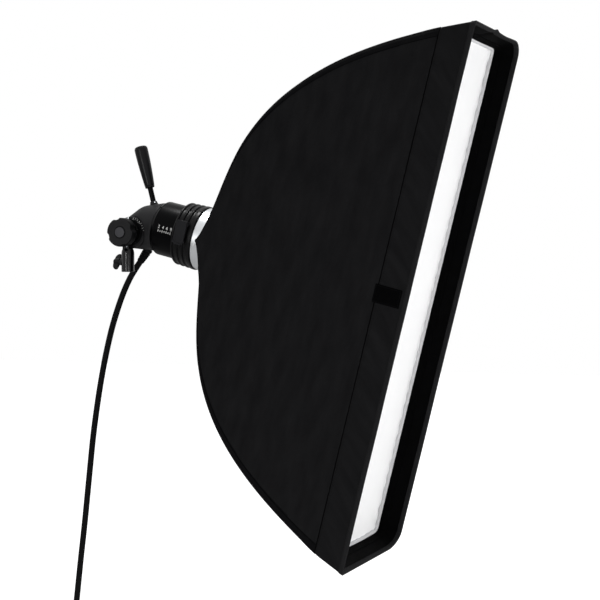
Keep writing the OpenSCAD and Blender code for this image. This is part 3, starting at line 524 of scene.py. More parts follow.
def extruded(name, outline, depth, matrix, material, bevel):
    """A plate: an outline in (y, z), drawn out along x, with its edges rounded off."""
    shape = bmesh.new()
    bottom = [shape.verts.new((0, y, z)) for y, z in outline]
    face = shape.faces.new(bottom)
    drawn = bmesh.ops.extrude_face_region(shape, geom=[face])
    far_end = [v for v in drawn["geom"] if isinstance(v, bmesh.types.BMVert)]
    bmesh.ops.translate(shape, verts=far_end, vec=(depth, 0, 0))
    bmesh.ops.recalc_face_normals(shape, faces=shape.faces)
    bmesh.ops.transform(shape, matrix=matrix @ Matrix.Scale(MM, 4), verts=shape.verts)
    mesh = bpy.data.meshes.new(name)
    shape.to_mesh(mesh)
    shape.free()
    piece = new_piece(name, mesh, material)
    edges = piece.modifiers.new("edges", "BEVEL")
    edges.width = bevel * MM
    edges.segments = 3
    edges.angle_limit = math.radians(30)
    return smooth(baked(piece))


def moulded(piece, voxel, rounds):
    """The piece with soft edges, as from a mould: a fine remesh, then some rounds of smoothing."""
    skin = piece.modifiers.new("skin", "REMESH")
    skin.mode = "VOXEL"
    skin.voxel_size = voxel * MM
    edges = piece.modifiers.new("edges", "SMOOTH")
    edges.factor = 0.5
    edges.iterations = rounds
    return smooth(baked(piece), 60)


def softened(name, node, material, voxel, rounds):
    """A CAD node's own shape with soft edges."""
    piece = clean(new_piece(name, frame["nodes"][node].data.copy()), outwards=False)
    piece.data.materials.clear()
    piece.data.materials.append(material)
    return moulded(piece, voxel, rounds)


def belongs(piece, body, slot, *nodes):
    """The piece rides on a body and stands for those CAD nodes, which it hides. The slot is not used."""
    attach(piece, body)
    if nodes:
        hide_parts(*nodes)
    return piece


# Shape trees for what repeats
def shape_tree(name, **inputs):
    """An empty shape tree: geometry in and out, and named inputs of the given kinds."""
    tree = bpy.data.node_groups.new(name, "GeometryNodeTree")
    tree.interface.new_socket("Geometry", in_out="OUTPUT", socket_type="NodeSocketGeometry")
    tree.interface.new_socket("Geometry", in_out="INPUT", socket_type="NodeSocketGeometry")
    for label, kind in inputs.items():
        tree.interface.new_socket(label, in_out="INPUT", socket_type="NodeSocket" + kind)
    return tree, add(tree, "NodeGroupInput").outputs


def end_tree(tree, instances, material):
    """Realises the instances, sets their material and sends them out."""
    real = add(tree, "GeometryNodeRealizeInstances", {"Geometry": instances})
    painted = add(tree, "GeometryNodeSetMaterial", {"Geometry": real.outputs[0], "Material": material})
    add(tree, "NodeGroupOutput", {"Geometry": painted.outputs[0]})
    return tree


def shaped(piece, tree, **values):
    """The piece after a shape tree has worked on it, as a plain mesh."""
    modifier = piece.modifiers.new(tree.name, "NODES")
    modifier.node_group = tree
    for socket in tree.interface.items_tree:
        if socket.in_out == "INPUT" and socket.name in values:
            modifier[socket.identifier] = values[socket.name]
    return baked(piece)


def stitch_tree():
    """Small oval stitches along a line, one every pitch."""
    tree, given = shape_tree("stitch_row", Pitch="Float", Length="Float", Thread="Float", Material="Material")
    line = add(tree, "GeometryNodeMeshToCurve", {"Mesh": given["Geometry"]})
    dots = add(tree, "GeometryNodeCurveToPoints", {"Curve": line.outputs[0], "Length": given["Pitch"]},
               mode="LENGTH")
    thread = add(tree, "GeometryNodeMeshUVSphere", {"Segments": 6, "Rings": 4, "Radius": 0.5})
    size = add(tree, "ShaderNodeCombineXYZ", {"X": given["Thread"], "Y": given["Thread"],
                                              "Z": given["Length"]})
    turn = add(tree, "FunctionNodeAlignRotationToVector", {"Vector": dots.outputs["Tangent"]}, axis="Z")
    row = add(tree, "GeometryNodeInstanceOnPoints", {
        "Points": dots.outputs["Points"], "Instance": thread.outputs["Mesh"],
        "Rotation": turn.outputs[0], "Scale": size.outputs[0],
    })
    return end_tree(tree, row.outputs[0], given["Material"])


def ring_tree():
    """Bars set round the x axis: ticks on a dial, or ribs on a grip."""
    tree, given = shape_tree("bars_round_axis", Count="Int", Start="Float", Step="Float", Radius="Float",
                             Along="Float", Size="Vector", Material="Material")
    dots = add(tree, "GeometryNodePoints", {"Count": given["Count"]})
    index = add(tree, "GeometryNodeInputIndex")
    angle = add(tree, "ShaderNodeMath", {0: index.outputs[0], 1: given["Step"], 2: given["Start"]},
                operation="MULTIPLY_ADD")
    sine = add(tree, "ShaderNodeMath", {0: angle.outputs[0]}, operation="SINE")
    cosine = add(tree, "ShaderNodeMath", {0: angle.outputs[0]}, operation="COSINE")
    aside = add(tree, "ShaderNodeMath", {0: cosine.outputs[0], 1: given["Radius"]}, operation="MULTIPLY")
    rise = add(tree, "ShaderNodeMath", {0: sine.outputs[0], 1: given["Radius"]}, operation="MULTIPLY")
    place = add(tree, "ShaderNodeCombineXYZ", {"X": given["Along"], "Y": aside.outputs[0],
                                               "Z": rise.outputs[0]})
    moved = add(tree, "GeometryNodeSetPosition", {"Geometry": dots.outputs[0], "Position": place.outputs[0]})
    bar = add(tree, "GeometryNodeMeshCube", {"Size": given["Size"]})
    turn = add(tree, "ShaderNodeCombineXYZ", {"X": angle.outputs[0]})
    row = add(tree, "GeometryNodeInstanceOnPoints", {
        "Points": moved.outputs[0], "Instance": bar.outputs["Mesh"], "Rotation": turn.outputs[0],
    })
    return end_tree(tree, row.outputs[0], given["Material"])


def lobe_tree():
    """Hollows between the lobes of a knob turned about x: each point moves in by a share of the depth."""
    tree, given = shape_tree("knob_lobes", Lobes="Float", Depth="Float", Inner="Float", Outer="Float",
                             Material="Material")
    where = add(tree, "GeometryNodeInputPosition")
    parts = add(tree, "ShaderNodeSeparateXYZ", {0: where.outputs[0]})
    angle = add(tree, "ShaderNodeMath", {0: parts.outputs["Z"], 1: parts.outputs["Y"]}, operation="ARCTAN2")
    turns = add(tree, "ShaderNodeMath", {0: angle.outputs[0], 1: given["Lobes"]}, operation="MULTIPLY")
    wave = add(tree, "ShaderNodeMath", {0: turns.outputs[0]}, operation="COSINE")
    hollow = add(tree, "ShaderNodeMapRange", {"Value": wave.outputs[0], "From Min": 0.5, "From Max": 1.0},
                 interpolation_type="SMOOTHSTEP")
    flat = add(tree, "ShaderNodeVectorMath", {0: where.outputs[0], 1: (0, 1, 1)}, operation="MULTIPLY")
    reach_out = add(tree, "ShaderNodeVectorMath", {0: flat.outputs[0]}, operation="LENGTH")
    rim = add(tree, "ShaderNodeMapRange", {"Value": reach_out.outputs["Value"], "From Min": given["Inner"],
                                           "From Max": given["Outer"]}, interpolation_type="SMOOTHSTEP")
    share = add(tree, "ShaderNodeMath", {0: hollow.outputs[0], 1: rim.outputs[0]}, operation="MULTIPLY")
    move = add(tree, "ShaderNodeMath", {0: share.outputs[0], 1: given["Depth"]}, operation="MULTIPLY")
    inwards = add(tree, "ShaderNodeVectorMath", {0: flat.outputs[0]}, operation="NORMALIZE")
    back = add(tree, "ShaderNodeMath", {0: move.outputs[0], 1: -1.0}, operation="MULTIPLY")
    offset = add(tree, "ShaderNodeVectorMath", {0: inwards.outputs[0], "Scale": back.outputs[0]},
                 operation="SCALE")
    moved = add(tree, "GeometryNodeSetPosition", {"Geometry": given["Geometry"], "Offset": offset.outputs[0]})
    return end_tree(tree, moved.outputs[0], given["Material"])


stitch_row = stitch_tree()
bars_round_axis = ring_tree()
knob_lobes = lobe_tree()


def stitches(name, lines, matrix, material, pitch=4.6, length=3.2, thread=0.7):
    """Rows of stitches along lines of points in millimetres."""
    points, edges = [], []
    for line in lines:
        first = len(points)
        points += [matrix @ (Vector(p) * MM) for p in line]
        edges += [(first + k, first + k + 1) for k in range(len(line) - 1)]
    mesh = bpy.data.meshes.new(name)
    mesh.from_pydata(points, edges, [])
    piece = shaped(new_piece(name, mesh), stitch_row, Pitch=pitch * MM, Length=length * MM,
                   Thread=thread * MM, Material=material)
    return smooth(piece, 80)


def bars(name, matrix, material, count, start, step, radius, along, size):
    """Bars round a frame's x axis: the first at start degrees from y, the next a step further."""
    piece = shaped(new_piece(name, bpy.data.meshes.new(name)), bars_round_axis, Count=count,
                   Start=math.radians(start), Step=math.radians(step), Radius=radius * MM, Along=along * MM,
                   Size=[s * MM for s in size], Material=material)
    piece.data.transform(matrix)
    return piece


# The head cable: the same route and coil as the solids, from the gland to the plug
cable_d = 11
cable_y = 45
route = [
    (2, 18), (-9, 3), (-20, -14), (-32, -38), (-44, -68), (-56, -104), (-67, -146), (-77, -192), (-86, -242),
    (-95, -302), (-104, -380), (-113, -460), (-122, -532), (-130, -600), (-136, -646), (-139, -676),
    (-140, -698), (-140, -709),
]
coil_turns = 8
coil_layers = 4
coil_r = 71
coil_pitch = cable_d + 0.8
coil_climb = 0.5
tail_len = 46
route_steps = 6
coil_steps = 48
layer_turns = (coil_turns - (coil_layers - 1) * coil_climb) / coil_layers
coil_inner_r = coil_r - coil_pitch * layer_turns
seat_gap = 0.1
cable_sides = 20


def smooth_run(points, steps):
    """A smooth curve through the points of a list."""
    points = [Vector(p) for p in points]
    last = len(points) - 1
    run = []
    for i in range(last):
        a, b, c, d = points[max(i - 1, 0)], points[i], points[i + 1], points[min(i + 2, last)]
        for u in (k / steps for k in range(steps)):
            run.append(b + 0.5 * u * (c - a + u * (2 * a - 5 * b + 4 * c - d + u * (3 * (b - c) + d - a))))
    return run + [points[last]]


def coil_point(turn, middle):
    """A point of the coil: layers that spiral in and out, with half a turn's climb where they reverse."""
    layer = min(int(turn / (layer_turns + coil_climb)), coil_layers - 1)
    part = turn - layer * (layer_turns + coil_climb)
    over = max(part - layer_turns, 0) / coil_climb
    dip = coil_pitch * coil_climb * over * (1 - over)
    run = coil_pitch * min(part, layer_turns)
    radius = coil_r - run - dip if layer % 2 == 0 else coil_inner_r + run + dip
    lift = (layer + over * over * (3 - 2 * over)) * coil_pitch
    angle = 2 * math.pi * turn
    return middle + Vector((-radius * math.cos(angle), lift, -radius * math.sin(angle)))


cable_run = smooth_run([(x, cable_y, z) for x, z in route], route_steps)
coil_middle = cable_run[-1] + Vector((coil_r, 0, -cable_d - seat_gap))
coil_run = [coil_point(k / coil_steps, coil_middle) for k in range(coil_turns * coil_steps + 1)]
tail_end = coil_run[-1] - Vector((0, 0, tail_len))
cable_path = cable_run + coil_run + [coil_run[-1].lerp(tail_end, k / 6) for k in range(1, 7)]


def make_cable():
    """The cable as one tube along its whole path."""
    cable = tube("head_cable", cable_path, cable_d / 2, cable_sides, Matrix(), cable_sheath)
    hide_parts("cable_run", "cable_coil")
    return cable


head_cable = make_cable()


# Plug, its strain relief and the tie round the coil
def make_plug():
    """A round multi-pin plug: ribbed strain relief, grip with fine ribs, and a metal shell round its pins."""
    hang = frame_at(Vector((tail_end.x, tail_end.y, 0)) * MM, down, across)
    relief_top, relief_end = reach("plug_relief", Vector(), down)
    body_top, body_end = reach("plug_body", Vector(), down)
    shell_top, shell_end = reach("plug_pins", Vector(), down)
    axis_y = Vector((0, tail_end.y * MM, 0))
    body_r = reach("plug_body", axis_y, across)[1]
    shell_r = reach("plug_pins", axis_y, across)[1]
    relief_r = reach("plug_relief", axis_y, across)[1]
    tip_r = cable_d / 2 + 0.9
    rings = 5
    ring_pitch = (relief_end - relief_top - 6) / rings
    profile = [(0, relief_top), (tip_r, relief_top)]
    for k in range(rings):
        r = tip_r + (relief_r - tip_r) * (k + 1) / rings
        start = relief_top + 1.5 + ring_pitch * k
        profile += [(r, start), (r, start + ring_pitch * 0.55), (r - 1.1, start + ring_pitch * 0.6),
                    (r - 1.1, start + ring_pitch * 0.95)]
    profile += [(relief_r, relief_end - 4), (relief_r, relief_end), (0, relief_end)]
    relief = turned("plug_strain_relief", profile, hang, soft_rubber, edge=0.5, segments=64)
    body = turned("plug_grip", [
        (0, body_top), (body_r - 3, body_top), (body_r - 0.6, body_top + 4), (body_r - 0.6, body_end - 11),
        (body_r - 1.6, body_end - 10), (body_r - 1.6, body_end - 5), (body_r, body_end - 4),
        (body_r, body_end), (0, body_end),
    ], hang, collar_plastic, edge=0.8, segments=96)
    ribs = bars("plug_grip_ribs", hang, collar_plastic, 36, 0, 10, body_r - 0.5,
                (body_top + body_end) / 2 - 3, (body_end - body_top - 18, 1.0, 1.1))
    wall = 2.5
    floor = 3
    shell = turned("plug_shell", [
        (0, shell_top), (shell_r - 0.8, shell_top), (shell_r, shell_top + 0.8), (shell_r, shell_end - 5),
        (shell_r - 0.7, shell_end - 4.5), (shell_r - 0.7, shell_end - 3.5), (shell_r, shell_end - 3),
        (shell_r, shell_end), (shell_r - wall, shell_end), (shell_r - wall, shell_top + floor),
        (0, shell_top + floor),
    ], hang, bright_steel, edge=0.4, segments=96)
    pins = bars("plug_contacts", hang, bright_steel, 6, 0, 60, 9, (shell_top + floor + shell_end) / 2 - 1,
                (shell_end - shell_top - floor, 2.6, 2.6))
    belongs(relief, "stand_bracket", "soft_grip", "plug_relief")
    belongs(body, "stand_bracket", "black_plastic", "plug_body")
    belongs(ribs, "stand_bracket", "black_plastic")
    belongs(shell, "stand_bracket", "bright_steel", "plug_pins")
    belongs(pins, "stand_bracket", "bright_steel")
    return [relief, body, ribs, shell, pins]


def make_tie():
    """A hook-and-loop strap round the coil's turns, its end lapped over."""
    low, high = (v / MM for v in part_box("cable_tie"))
    wall = 1.6
    half_y, half_z = (high.y - low.y) / 2 - wall / 2, (high.z - low.z) / 2 - wall / 2
    middle = (low + high) / 2
    loop = rounded([(-half_y, -half_z), (half_y, -half_z), (half_y, half_z), (-half_y, half_z)], 8, 6,
                   closed=True)
    half_w = (high.x - low.x) / 2
    grid = []
    for along, out in ((-half_w, 1), (half_w, 1), (half_w, -1), (-half_w, -1)):
        row = []
        for y, z in loop:
            grow = 1 + out * wall / 2 / math.hypot(y, z)
            row.append((middle.x + along, middle.y + y * grow, middle.z + z * grow))
        grid.append(row)
    tie = grid_piece("coil_strap", grid, Matrix(), dark_webbing, close_rows=True, close_columns=True)
    smooth(clean(tie), 50)
    end_outline = rounded([(0, -1), (wall * 0.7, -1), (wall * 0.7, 14), (0, 14)], 0.5, 2, closed=True)
    end_place = frame_at(Vector((low.x + 1, high.y, middle.z - 6)) * MM, Vector((1, 0, 0)), across)
    tab = extruded("coil_strap_end", end_outline, 2 * half_w - 2, end_place, pile, 0.3)
    belongs(tie, "stand_bracket", "hook_and_loop", "cable_tie")
    belongs(tab, "stand_bracket", "hook_and_loop")
    return [tie, tab]


plug_pieces = make_plug()
tie_pieces = make_tie()
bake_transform(head_cable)

# Softbox outline, in millimetres ahead of the ring seat
box_height = 915
box_width = 305
box_depth = 438
rear_bend = (84, 113)
front_bend = (7, 306)
rear_ahead = 14.5
rear_half_width = 66
lip_depth = 57
binding_w = 9
fabric_t = 1.6
corner_r = 5
seam_x = box_depth - lip_depth
ring_r = reach("speed_ring", ring_point, across)[1]


def outline(t):
    """Ahead and up along the side outline: a cubic curve from the ring to the front edge."""
    weights = ((1 - t) ** 3, 3 * t * (1 - t) ** 2, 3 * t * t * (1 - t), t ** 3)
    controls = ((rear_ahead, 0), rear_bend, front_bend, (box_depth, box_height / 2))
    return tuple(sum(w * c[k] for w, c in zip(weights, controls)) for k in (0, 1))


def half_width(rise):
    """Half the box's width where its sides stand that high."""
    return rear_half_width + (box_width / 2 - rear_half_width) * rise / (box_height / 2)


def find(value, part):
    """The outline's parameter where its distance ahead (part 0) or its height (part 1) has that value."""
    low, high = 0.0, 1.1
    for _ in range(40):
        middle = (low + high) / 2
        low, high = (middle, high) if outline(middle)[part] < value else (low, middle)
    return (low + high) / 2


seam_t = find(seam_x, 0)
seam_height = outline(seam_t)[1]
seam_half = half_width(seam_height)


def fade(distance, reach_mm):
    """A smooth fall from 1 at no distance."""
    return math.exp(-(distance / reach_mm) ** 2)


def wrinkle(x, z, seed, size):
    """Even noise from -1 to 1 whose waves have about that size in millimetres."""
    return noise.noise(Vector((x / size, z / size, seed)))


# Folds that the cloth shows: rods press out a sleeve along each corner, the middle draws in, seams pucker
side_sag = 6
cross_sag = 3.5
sleeve_at = 7
sleeve_out = 1.3
sleeve_w = 4.5
sleeve_seam_at = 14
sleeve_seam_w = 2.2
seam_in = 0.9
seam_w = 2.5
pucker_pitch = 19
pucker_out = 0.5
calm_edge = 30
rear_folds = 2.4
front_folds = 1.1
creases = 0.45
edge_drop = 5
edge_reach = 20
# Sizes of the folds' waves, and how far they spread from their middles
rear_wave = 60
rear_middle = 30
rear_reach = 80
front_wave = 45
front_reach = 60
pucker_wave = 40
pucker_reach = 9
crease_wave = 22
# Heights above the axis over which the sides' sag and folds grow to their full size
sag_rise = 200
fold_rise = 40
near_seed = 1.5
far_seed = 8.5
# Grid of the panels' cloth, the angles of the turn at their edges, and their walls
side_rows = 100
side_columns = 150
cross_rows = 80
cross_columns = 30
turn_angles = (15, 30, 45)
outline_start = 0.001
cloth_wall = 1.2
# The slot and the height from which the side panels' edges take painted shade
edge_shade_slot = 2
edge_shade_from = 60


def fold(ahead, place, edge, sag, seed):
    """How far the cloth stands out of the flat panel: place runs along the section, edge from its corner."""
    out = sleeve_out * fade(edge - sleeve_at, sleeve_w) - seam_in * fade(edge - sleeve_seam_at, sleeve_seam_w)
    inner = 1 - fade(edge, calm_edge)
    out -= sag * inner * math.sin(math.pi * min(ahead / seam_x, 1)) ** 0.8
    rear = wrinkle(ahead * 1.8, place * 0.3, seed, rear_wave) * fade(ahead - rear_middle, rear_reach)
    front = wrinkle(ahead * 0.5, place * 1.4, seed + 3, front_wave) * fade(seam_x - ahead, front_reach)
    out += rear_folds * inner * rear + front_folds * inner * front
    pucker = math.sin(2 * math.pi * (place / pucker_pitch + 0.6 * wrinkle(0, place, seed + 7, pucker_wave)))
    out += pucker_out * pucker * fade(seam_x - ahead, pucker_reach)
    out += creases * inner * wrinkle(ahead, place, seed + 11, crease_wave)
    return out - seam_in * fade(seam_x - ahead, seam_w)


def edge_in(ahead, rise, edge):
    """How far a side panel curves in towards its corners, where the rods draw it round."""
    share = max(1 - edge / edge_reach, 0) ** 2 * min(rise / 60, 1)
    return edge_drop * share * (1 - fade(seam_x - ahead, 25))


def side_fold(ahead, rise, z, seed):
    """How far a side panel stands out at a height z, where its outline stands at rise."""
    edge = rise - abs(z)
    out = fold(ahead, z, edge, side_sag * min(rise / sag_rise, 1), seed) * min(rise / fold_rise, 1)
    return out - edge_in(ahead, rise, edge)


def spread(count, dense):
    """Places from -1 to 1 that lie closer together near both ends."""
    steps = [2 * k / count - 1 for k in range(count + 1)]
    return [(1 - dense) * s + dense * math.sin(math.pi / 2 * s) for s in steps]


def side_panel(name, sign, seed):
    """A near or far panel: flat cloth between two rods, its edges turned round them at the corners."""
    rows, uv = [], []
    for k in range(side_rows + 1):
        ahead, rise = outline(outline_start + (seam_t - outline_start) * k / side_rows)
        wide = half_width(rise)
        turn_r = min(corner_r, 0.45 * rise)
        row, flat = [], []
        for s in spread(side_columns, 0.75):
            z = s * (rise - turn_r)
            row.append((ahead, sign * (wide + side_fold(ahead, rise, z, seed)), z))
            flat.append((ahead, z))
        for end in (1, -1):
            arc = []
            for a in turn_angles:
                lean = math.radians(a)
                y = wide - turn_r + turn_r * math.cos(lean)
                y -= edge_in(ahead, rise, turn_r * (1 - math.sin(lean)))
                arc.append((ahead, sign * y, end * (rise - turn_r + turn_r * math.sin(lean))))
            more = [(ahead, p[2]) for p in arc]
            row = row + arc if end == 1 else arc[::-1] + row
            flat = flat + more if end == 1 else more[::-1] + flat
        rows.append(row if sign < 0 else row[::-1])
        uv.append(flat if sign < 0 else flat[::-1])
    return cloth(name, rows, np.array(uv))


def cross_panel(name, sign, seed):
    """A top or bottom panel, cut out round the ring at its rear."""
    hole_r = ring_r + 0.5
    rises = [hole_r * math.sin(math.radians(a)) for a in range(1, 90, 5)]
    first = find(hole_r, 1)
    params = [find(max(r, 0.2), 1) for r in rises]
    params += [first + (seam_t - first) * k / cross_rows for k in range(cross_rows + 1)]
    rows, uv = [], []
    run = 0
    last = None
    for t in params:
        ahead, rise = outline(t)
        run += 0 if last is None else math.dist(last, (ahead, rise))
        last = (ahead, rise)
        before, after = outline(t - 0.001), outline(t + 0.001)
        lean = Vector((after[0] - before[0], after[1] - before[1])).normalized()
        wide = half_width(rise)
        turn_r = min(corner_r, 0.45 * rise)
        inner = math.sqrt(max(hole_r ** 2 - rise ** 2, 0))
        flat_end = wide - turn_r - edge_in(ahead, rise, turn_r * (1 - math.sqrt(0.5)))
        shares = [math.sin(math.pi / 2 * k / cross_columns) for k in range(cross_columns + 1)]
        half = [inner + (flat_end - inner) * share for share in shares]
        row, flat = [], []
        for y in half:
            out = fold(run, y, wide - y, cross_sag, seed) * min(rise / 90, 1)
            row.append((ahead - lean.y * out, y, sign * (rise + lean.x * out)))
            flat.append((y, run))
        for a in turn_angles:
            angle = math.radians(a)
            y = flat_end + turn_r * math.sin(angle)
            drop = turn_r * (1 - math.cos(angle))
            row.append((ahead, y, sign * (rise - drop)))
            flat.append((y, run))
        mirror = [(x, -y, z) for x, y, z in row[::-1]]
        row = mirror + row
        flat = [(-y, d) for y, d in flat[::-1]] + flat
        rows.append(row if sign > 0 else row[::-1])
        uv.append(flat if sign > 0 else flat[::-1])
    return cloth(name, rows, np.array(uv), hole=len(rises))


def cloth(name, rows, uv, hole=0):
    """Cloth with its weave outside and a silver lining inside. The first rows leave a hole in the middle."""
    # Slot 2 is the darker copy of the shell cloth, painted shade on the side panels' edges
    piece = grid_piece(name, rows, box_frame, shell_nylon, lining, edge_shade_nylon, lining, uv=uv)
    squares = len(rows[0]) - 1
    if hole:
        shape = bmesh.new()
        shape.from_mesh(piece.data)
        shape.faces.ensure_lookup_table()
        gone = [shape.faces[i * squares + squares // 2] for i in range(hole)]
        bmesh.ops.delete(shape, geom=gone, context="FACES")
        shape.to_mesh(piece.data)
        shape.free()
    else:
        paint_edge_shade(piece, rows, squares)
    clean(piece, outwards=False)
    return smooth(walled(piece, cloth_wall, -1, 1), 60)


def paint_edge_shade(piece, rows, squares):
    """Gives a side panel's edges a darker copy of the shell cloth, from a little above the ring: painted
    shade where the cloth turns away round the rods.
    """
    for face in piece.data.polygons:
        row = rows[face.index // squares]
        rise = max(abs(p[2]) for p in row)
        if rise - abs(row[face.index % squares][2]) < sleeve_seam_at and rise > edge_shade_from:
            face.material_index = edge_shade_slot


def make_panels():
    """The four panels. The flat size of the cloth that each was cut from is worked out and not used."""
    height = 2 * seam_height * MM
    depth = seam_x * MM
    first = find(ring_r, 1)
    places = [outline(first + (seam_t - first) * k / 100) for k in range(101)]
    run = sum(math.dist(a, b) for a, b in zip(places, places[1:])) * MM
    for name, maker, sign, seed, rods in (
        ("near_panel", side_panel, -1, near_seed, ["rod_near_top", "rod_near_bottom"]),
        ("far_panel", side_panel, 1, far_seed, ["rod_far_top", "rod_far_bottom"]),
        ("top_panel", cross_panel, 1, 15.5, ["rod_near_top", "rod_far_top"]),
        ("bottom_panel", cross_panel, -1, 22.5, ["rod_near_bottom", "rod_far_bottom"]),
    ):
        panel = maker(name + "_cloth", sign, seed)
        belongs(panel, "softbox", "shell_fabric", name)
        side = maker is side_panel
        flat = (depth, height) if side else (2 * seam_half * MM, run)
        flat = tuple(round(size, 3) for size in flat)


# The lip ahead of the diffuser's seam: soft, so its far corners round off
front_corners = {(-1, 1): (4, 4), (1, 1): (42, 26), (1, -1): (60, 26), (-1, -1): (4, 4)}
long_side = 110
short_side = 46
corner_steps = 8
# Slack in the lip's edge, calm near the corners, and a bump and a dip in its top edge
slack_out = 1.6
slack_wave = 120
slack_seed = 31.5
slack_calm = 40
lip_pucker_reach = 8
top_bump = 3.2
top_bump_at = -16
top_bump_w = 9
top_dip = 1.4
top_dip_at = 45
top_dip_w = 40


def lip_loop(x, outwards):
    """The lip's section that far ahead of the ring seat, moved outwards: a closed loop, near side first."""
    rise = outline(find(x, 0))[1]
    high, wide = rise + outwards, half_width(rise) + outwards
    share = max(min((x - seam_x) / lip_depth, 1), 0)

    def radii(signs):
        return [max(corner_r + (r - corner_r) * share + outwards, 0.6) for r in front_corners[signs]]

    loop = []
    corners = ((-1, 1), (1, 1), (1, -1), (-1, -1))
    for k, (y_sign, z_sign) in enumerate(corners):
        r_y, r_z = radii((y_sign, z_sign))
        centre = Vector((y_sign * (wide - r_y), z_sign * (high - r_z)))
        first = (180, 90, 0, -90)[k]
        arc = []
        for step in range(corner_steps + 1):
            a = math.radians(first - 90 * step / corner_steps)
            arc.append(centre + Vector((r_y * math.cos(a), r_z * math.sin(a))))
        next_y, next_z = corners[(k + 1) % 4]
        r_y, r_z = radii((next_y, next_z))
        end = Vector((next_y * (wide - r_y), next_z * (high - r_z)))
        end += Vector(((0, r_z), (r_y, 0), (0, -r_z), (-r_y, 0))[k])
        count = short_side if k % 2 == 0 else long_side
        loop += arc + [arc[-1].lerp(end, step / count) for step in range(1, count)]
    return [Vector((x, y, z)) for y, z in wavy(loop, x, share, wide, high)]


def lip_line(x, outwards):
    """The lip's section as a line that comes back to its start."""
    loop = lip_loop(x, outwards)
    return loop + loop[:1]


def wavy(loop, x, share, wide, high):
    """The loop with slack in its long edges, and a pucker where it joins the panels."""
    result = []
    for p in loop:
        upright = abs(p.x) > wide - 2
        run = p.y if upright else p.x
        near_end = high - abs(p.y) if upright else min(high - abs(p.y), wide - abs(p.x))
        calm = 1 - fade(near_end, slack_calm)
        slack = slack_out * share * wrinkle(run, p.x + p.y, slack_seed, slack_wave) * calm
        pucker = pucker_out * math.sin(2 * math.pi * run / pucker_pitch) * fade(x - seam_x, lip_pucker_reach)
        out = slack + pucker - seam_in * fade(x - seam_x, seam_w)
        if not upright and p.y > 0:
            bump = top_bump * fade(run - top_bump_at, top_bump_w)
            out += share * (bump - top_dip * fade(run - top_dip_at, top_dip_w))
        normal = Vector((math.copysign(1, p.x), 0)) if upright else Vector((0, math.copysign(1, p.y)))
        result.append(p + normal * out)
    return result


def band(name, section, material, inner=None):
    """A closed band round the lip from (ahead, outwards) points. Its second half may have a lining."""
    grid = [lip_loop(x, out) for x, out in section]
    materials = [material, inner] if inner else [material]
    piece = grid_piece(name, grid, box_frame, *materials, close_rows=True, close_columns=True)
    if inner:
        lined = len(section) // 2 * len(grid[0])
        for face in piece.data.polygons[lined:]:
            face.material_index = 1
    return smooth(clean(piece), 60)


def lip_section(from_x, to_x, outer, inner, steps):
    """A strip's section: forward along its outside and back along its inside."""
    places = [from_x + (to_x - from_x) * k / steps for k in range(steps + 1)]
    return [(x, outer) for x in places] + [(x, inner) for x in reversed(places)]


def make_lip():
    """The lip, the tape bound over its front edge and the loop tape inside it."""
    # The lip's inner half is near-black: its lining, and painted shade inside the lip
    lip = band("front_lip_cloth", lip_section(seam_x + 0.2, box_depth - 3, 0, -fabric_t, 16), shell_nylon,
               lip_lining_and_shade)
    edge = rounded([
        (box_depth - binding_w, 0.75), (box_depth - 0.4, 0.75), (box_depth - 0.4, -fabric_t - 0.75),
        (box_depth - binding_w, -fabric_t - 0.75),
    ], 1.3, 4, closed=True)
    binding = band("edge_binding_tape", edge, binding_tape)
    loop_x = reach("loop_tape", ring_point, forward)
    tape = band("loop_tape_strip", lip_section(loop_x[0], loop_x[1], -fabric_t - 0.2, -fabric_t - 1.0, 4),
                pile)
    belongs(lip, "softbox", "shell_fabric", "front_lip")
    belongs(binding, "softbox", "binding_tape", "edge_binding")
    belongs(tape, "softbox", "hook_and_loop", "loop_tape")
    front = lip_loop(box_depth, 0)


# Diffusers: the elastic in the front one's hem draws it a little ahead on its tape
drawn_ahead = 4.6
sheet_wall = 0.5
gather_pitch = 26
gather_reach = 11
corner_folds = 7
corner_fold_out = 2.2
corner_fold_at = 26
corner_fold_w = 24
slack_ripple = 0.8


def diffuser_sheet(name, x, half_w, half_h, bulge, edge_pucker, seed, material, columns=70, rows=170):
    """A white sheet laced taut across the box: a faint bulge, puckered edges and folds at its corners."""
    grid = []
    heights = spread(rows, 0.5)
    for i in range(rows + 1):
        z = half_h * heights[i]
        row = []
        for s in spread(columns, 0.6):
            y = half_w * s
            edge = min(half_w - abs(y), half_h - abs(z))
            corner = math.hypot(half_w - abs(y), half_h - abs(z))
            aim = math.atan2(half_w - abs(y), half_h - abs(z))
            out = bulge * (1 - (y / half_w) ** 2) * (1 - (z / half_h) ** 2)
            run = z if half_w - abs(y) < half_h - abs(z) else y
            gather = math.sin(2 * math.pi * run / gather_pitch + 3 * wrinkle(run, 0, seed, 60))
            out += edge_pucker * gather * fade(edge, gather_reach)
            fan = math.cos(corner_folds * aim + seed) * fade(corner - corner_fold_at, corner_fold_w)
            out += corner_fold_out * edge_pucker * fan
            out += slack_ripple * wrinkle(y, z * 0.4, seed + 2, 70)
            row.append((x + out, y, z))
        grid.append(row)
    return smooth(walled(grid_piece(name, grid, box_frame, material), sheet_wall, 0), 60)


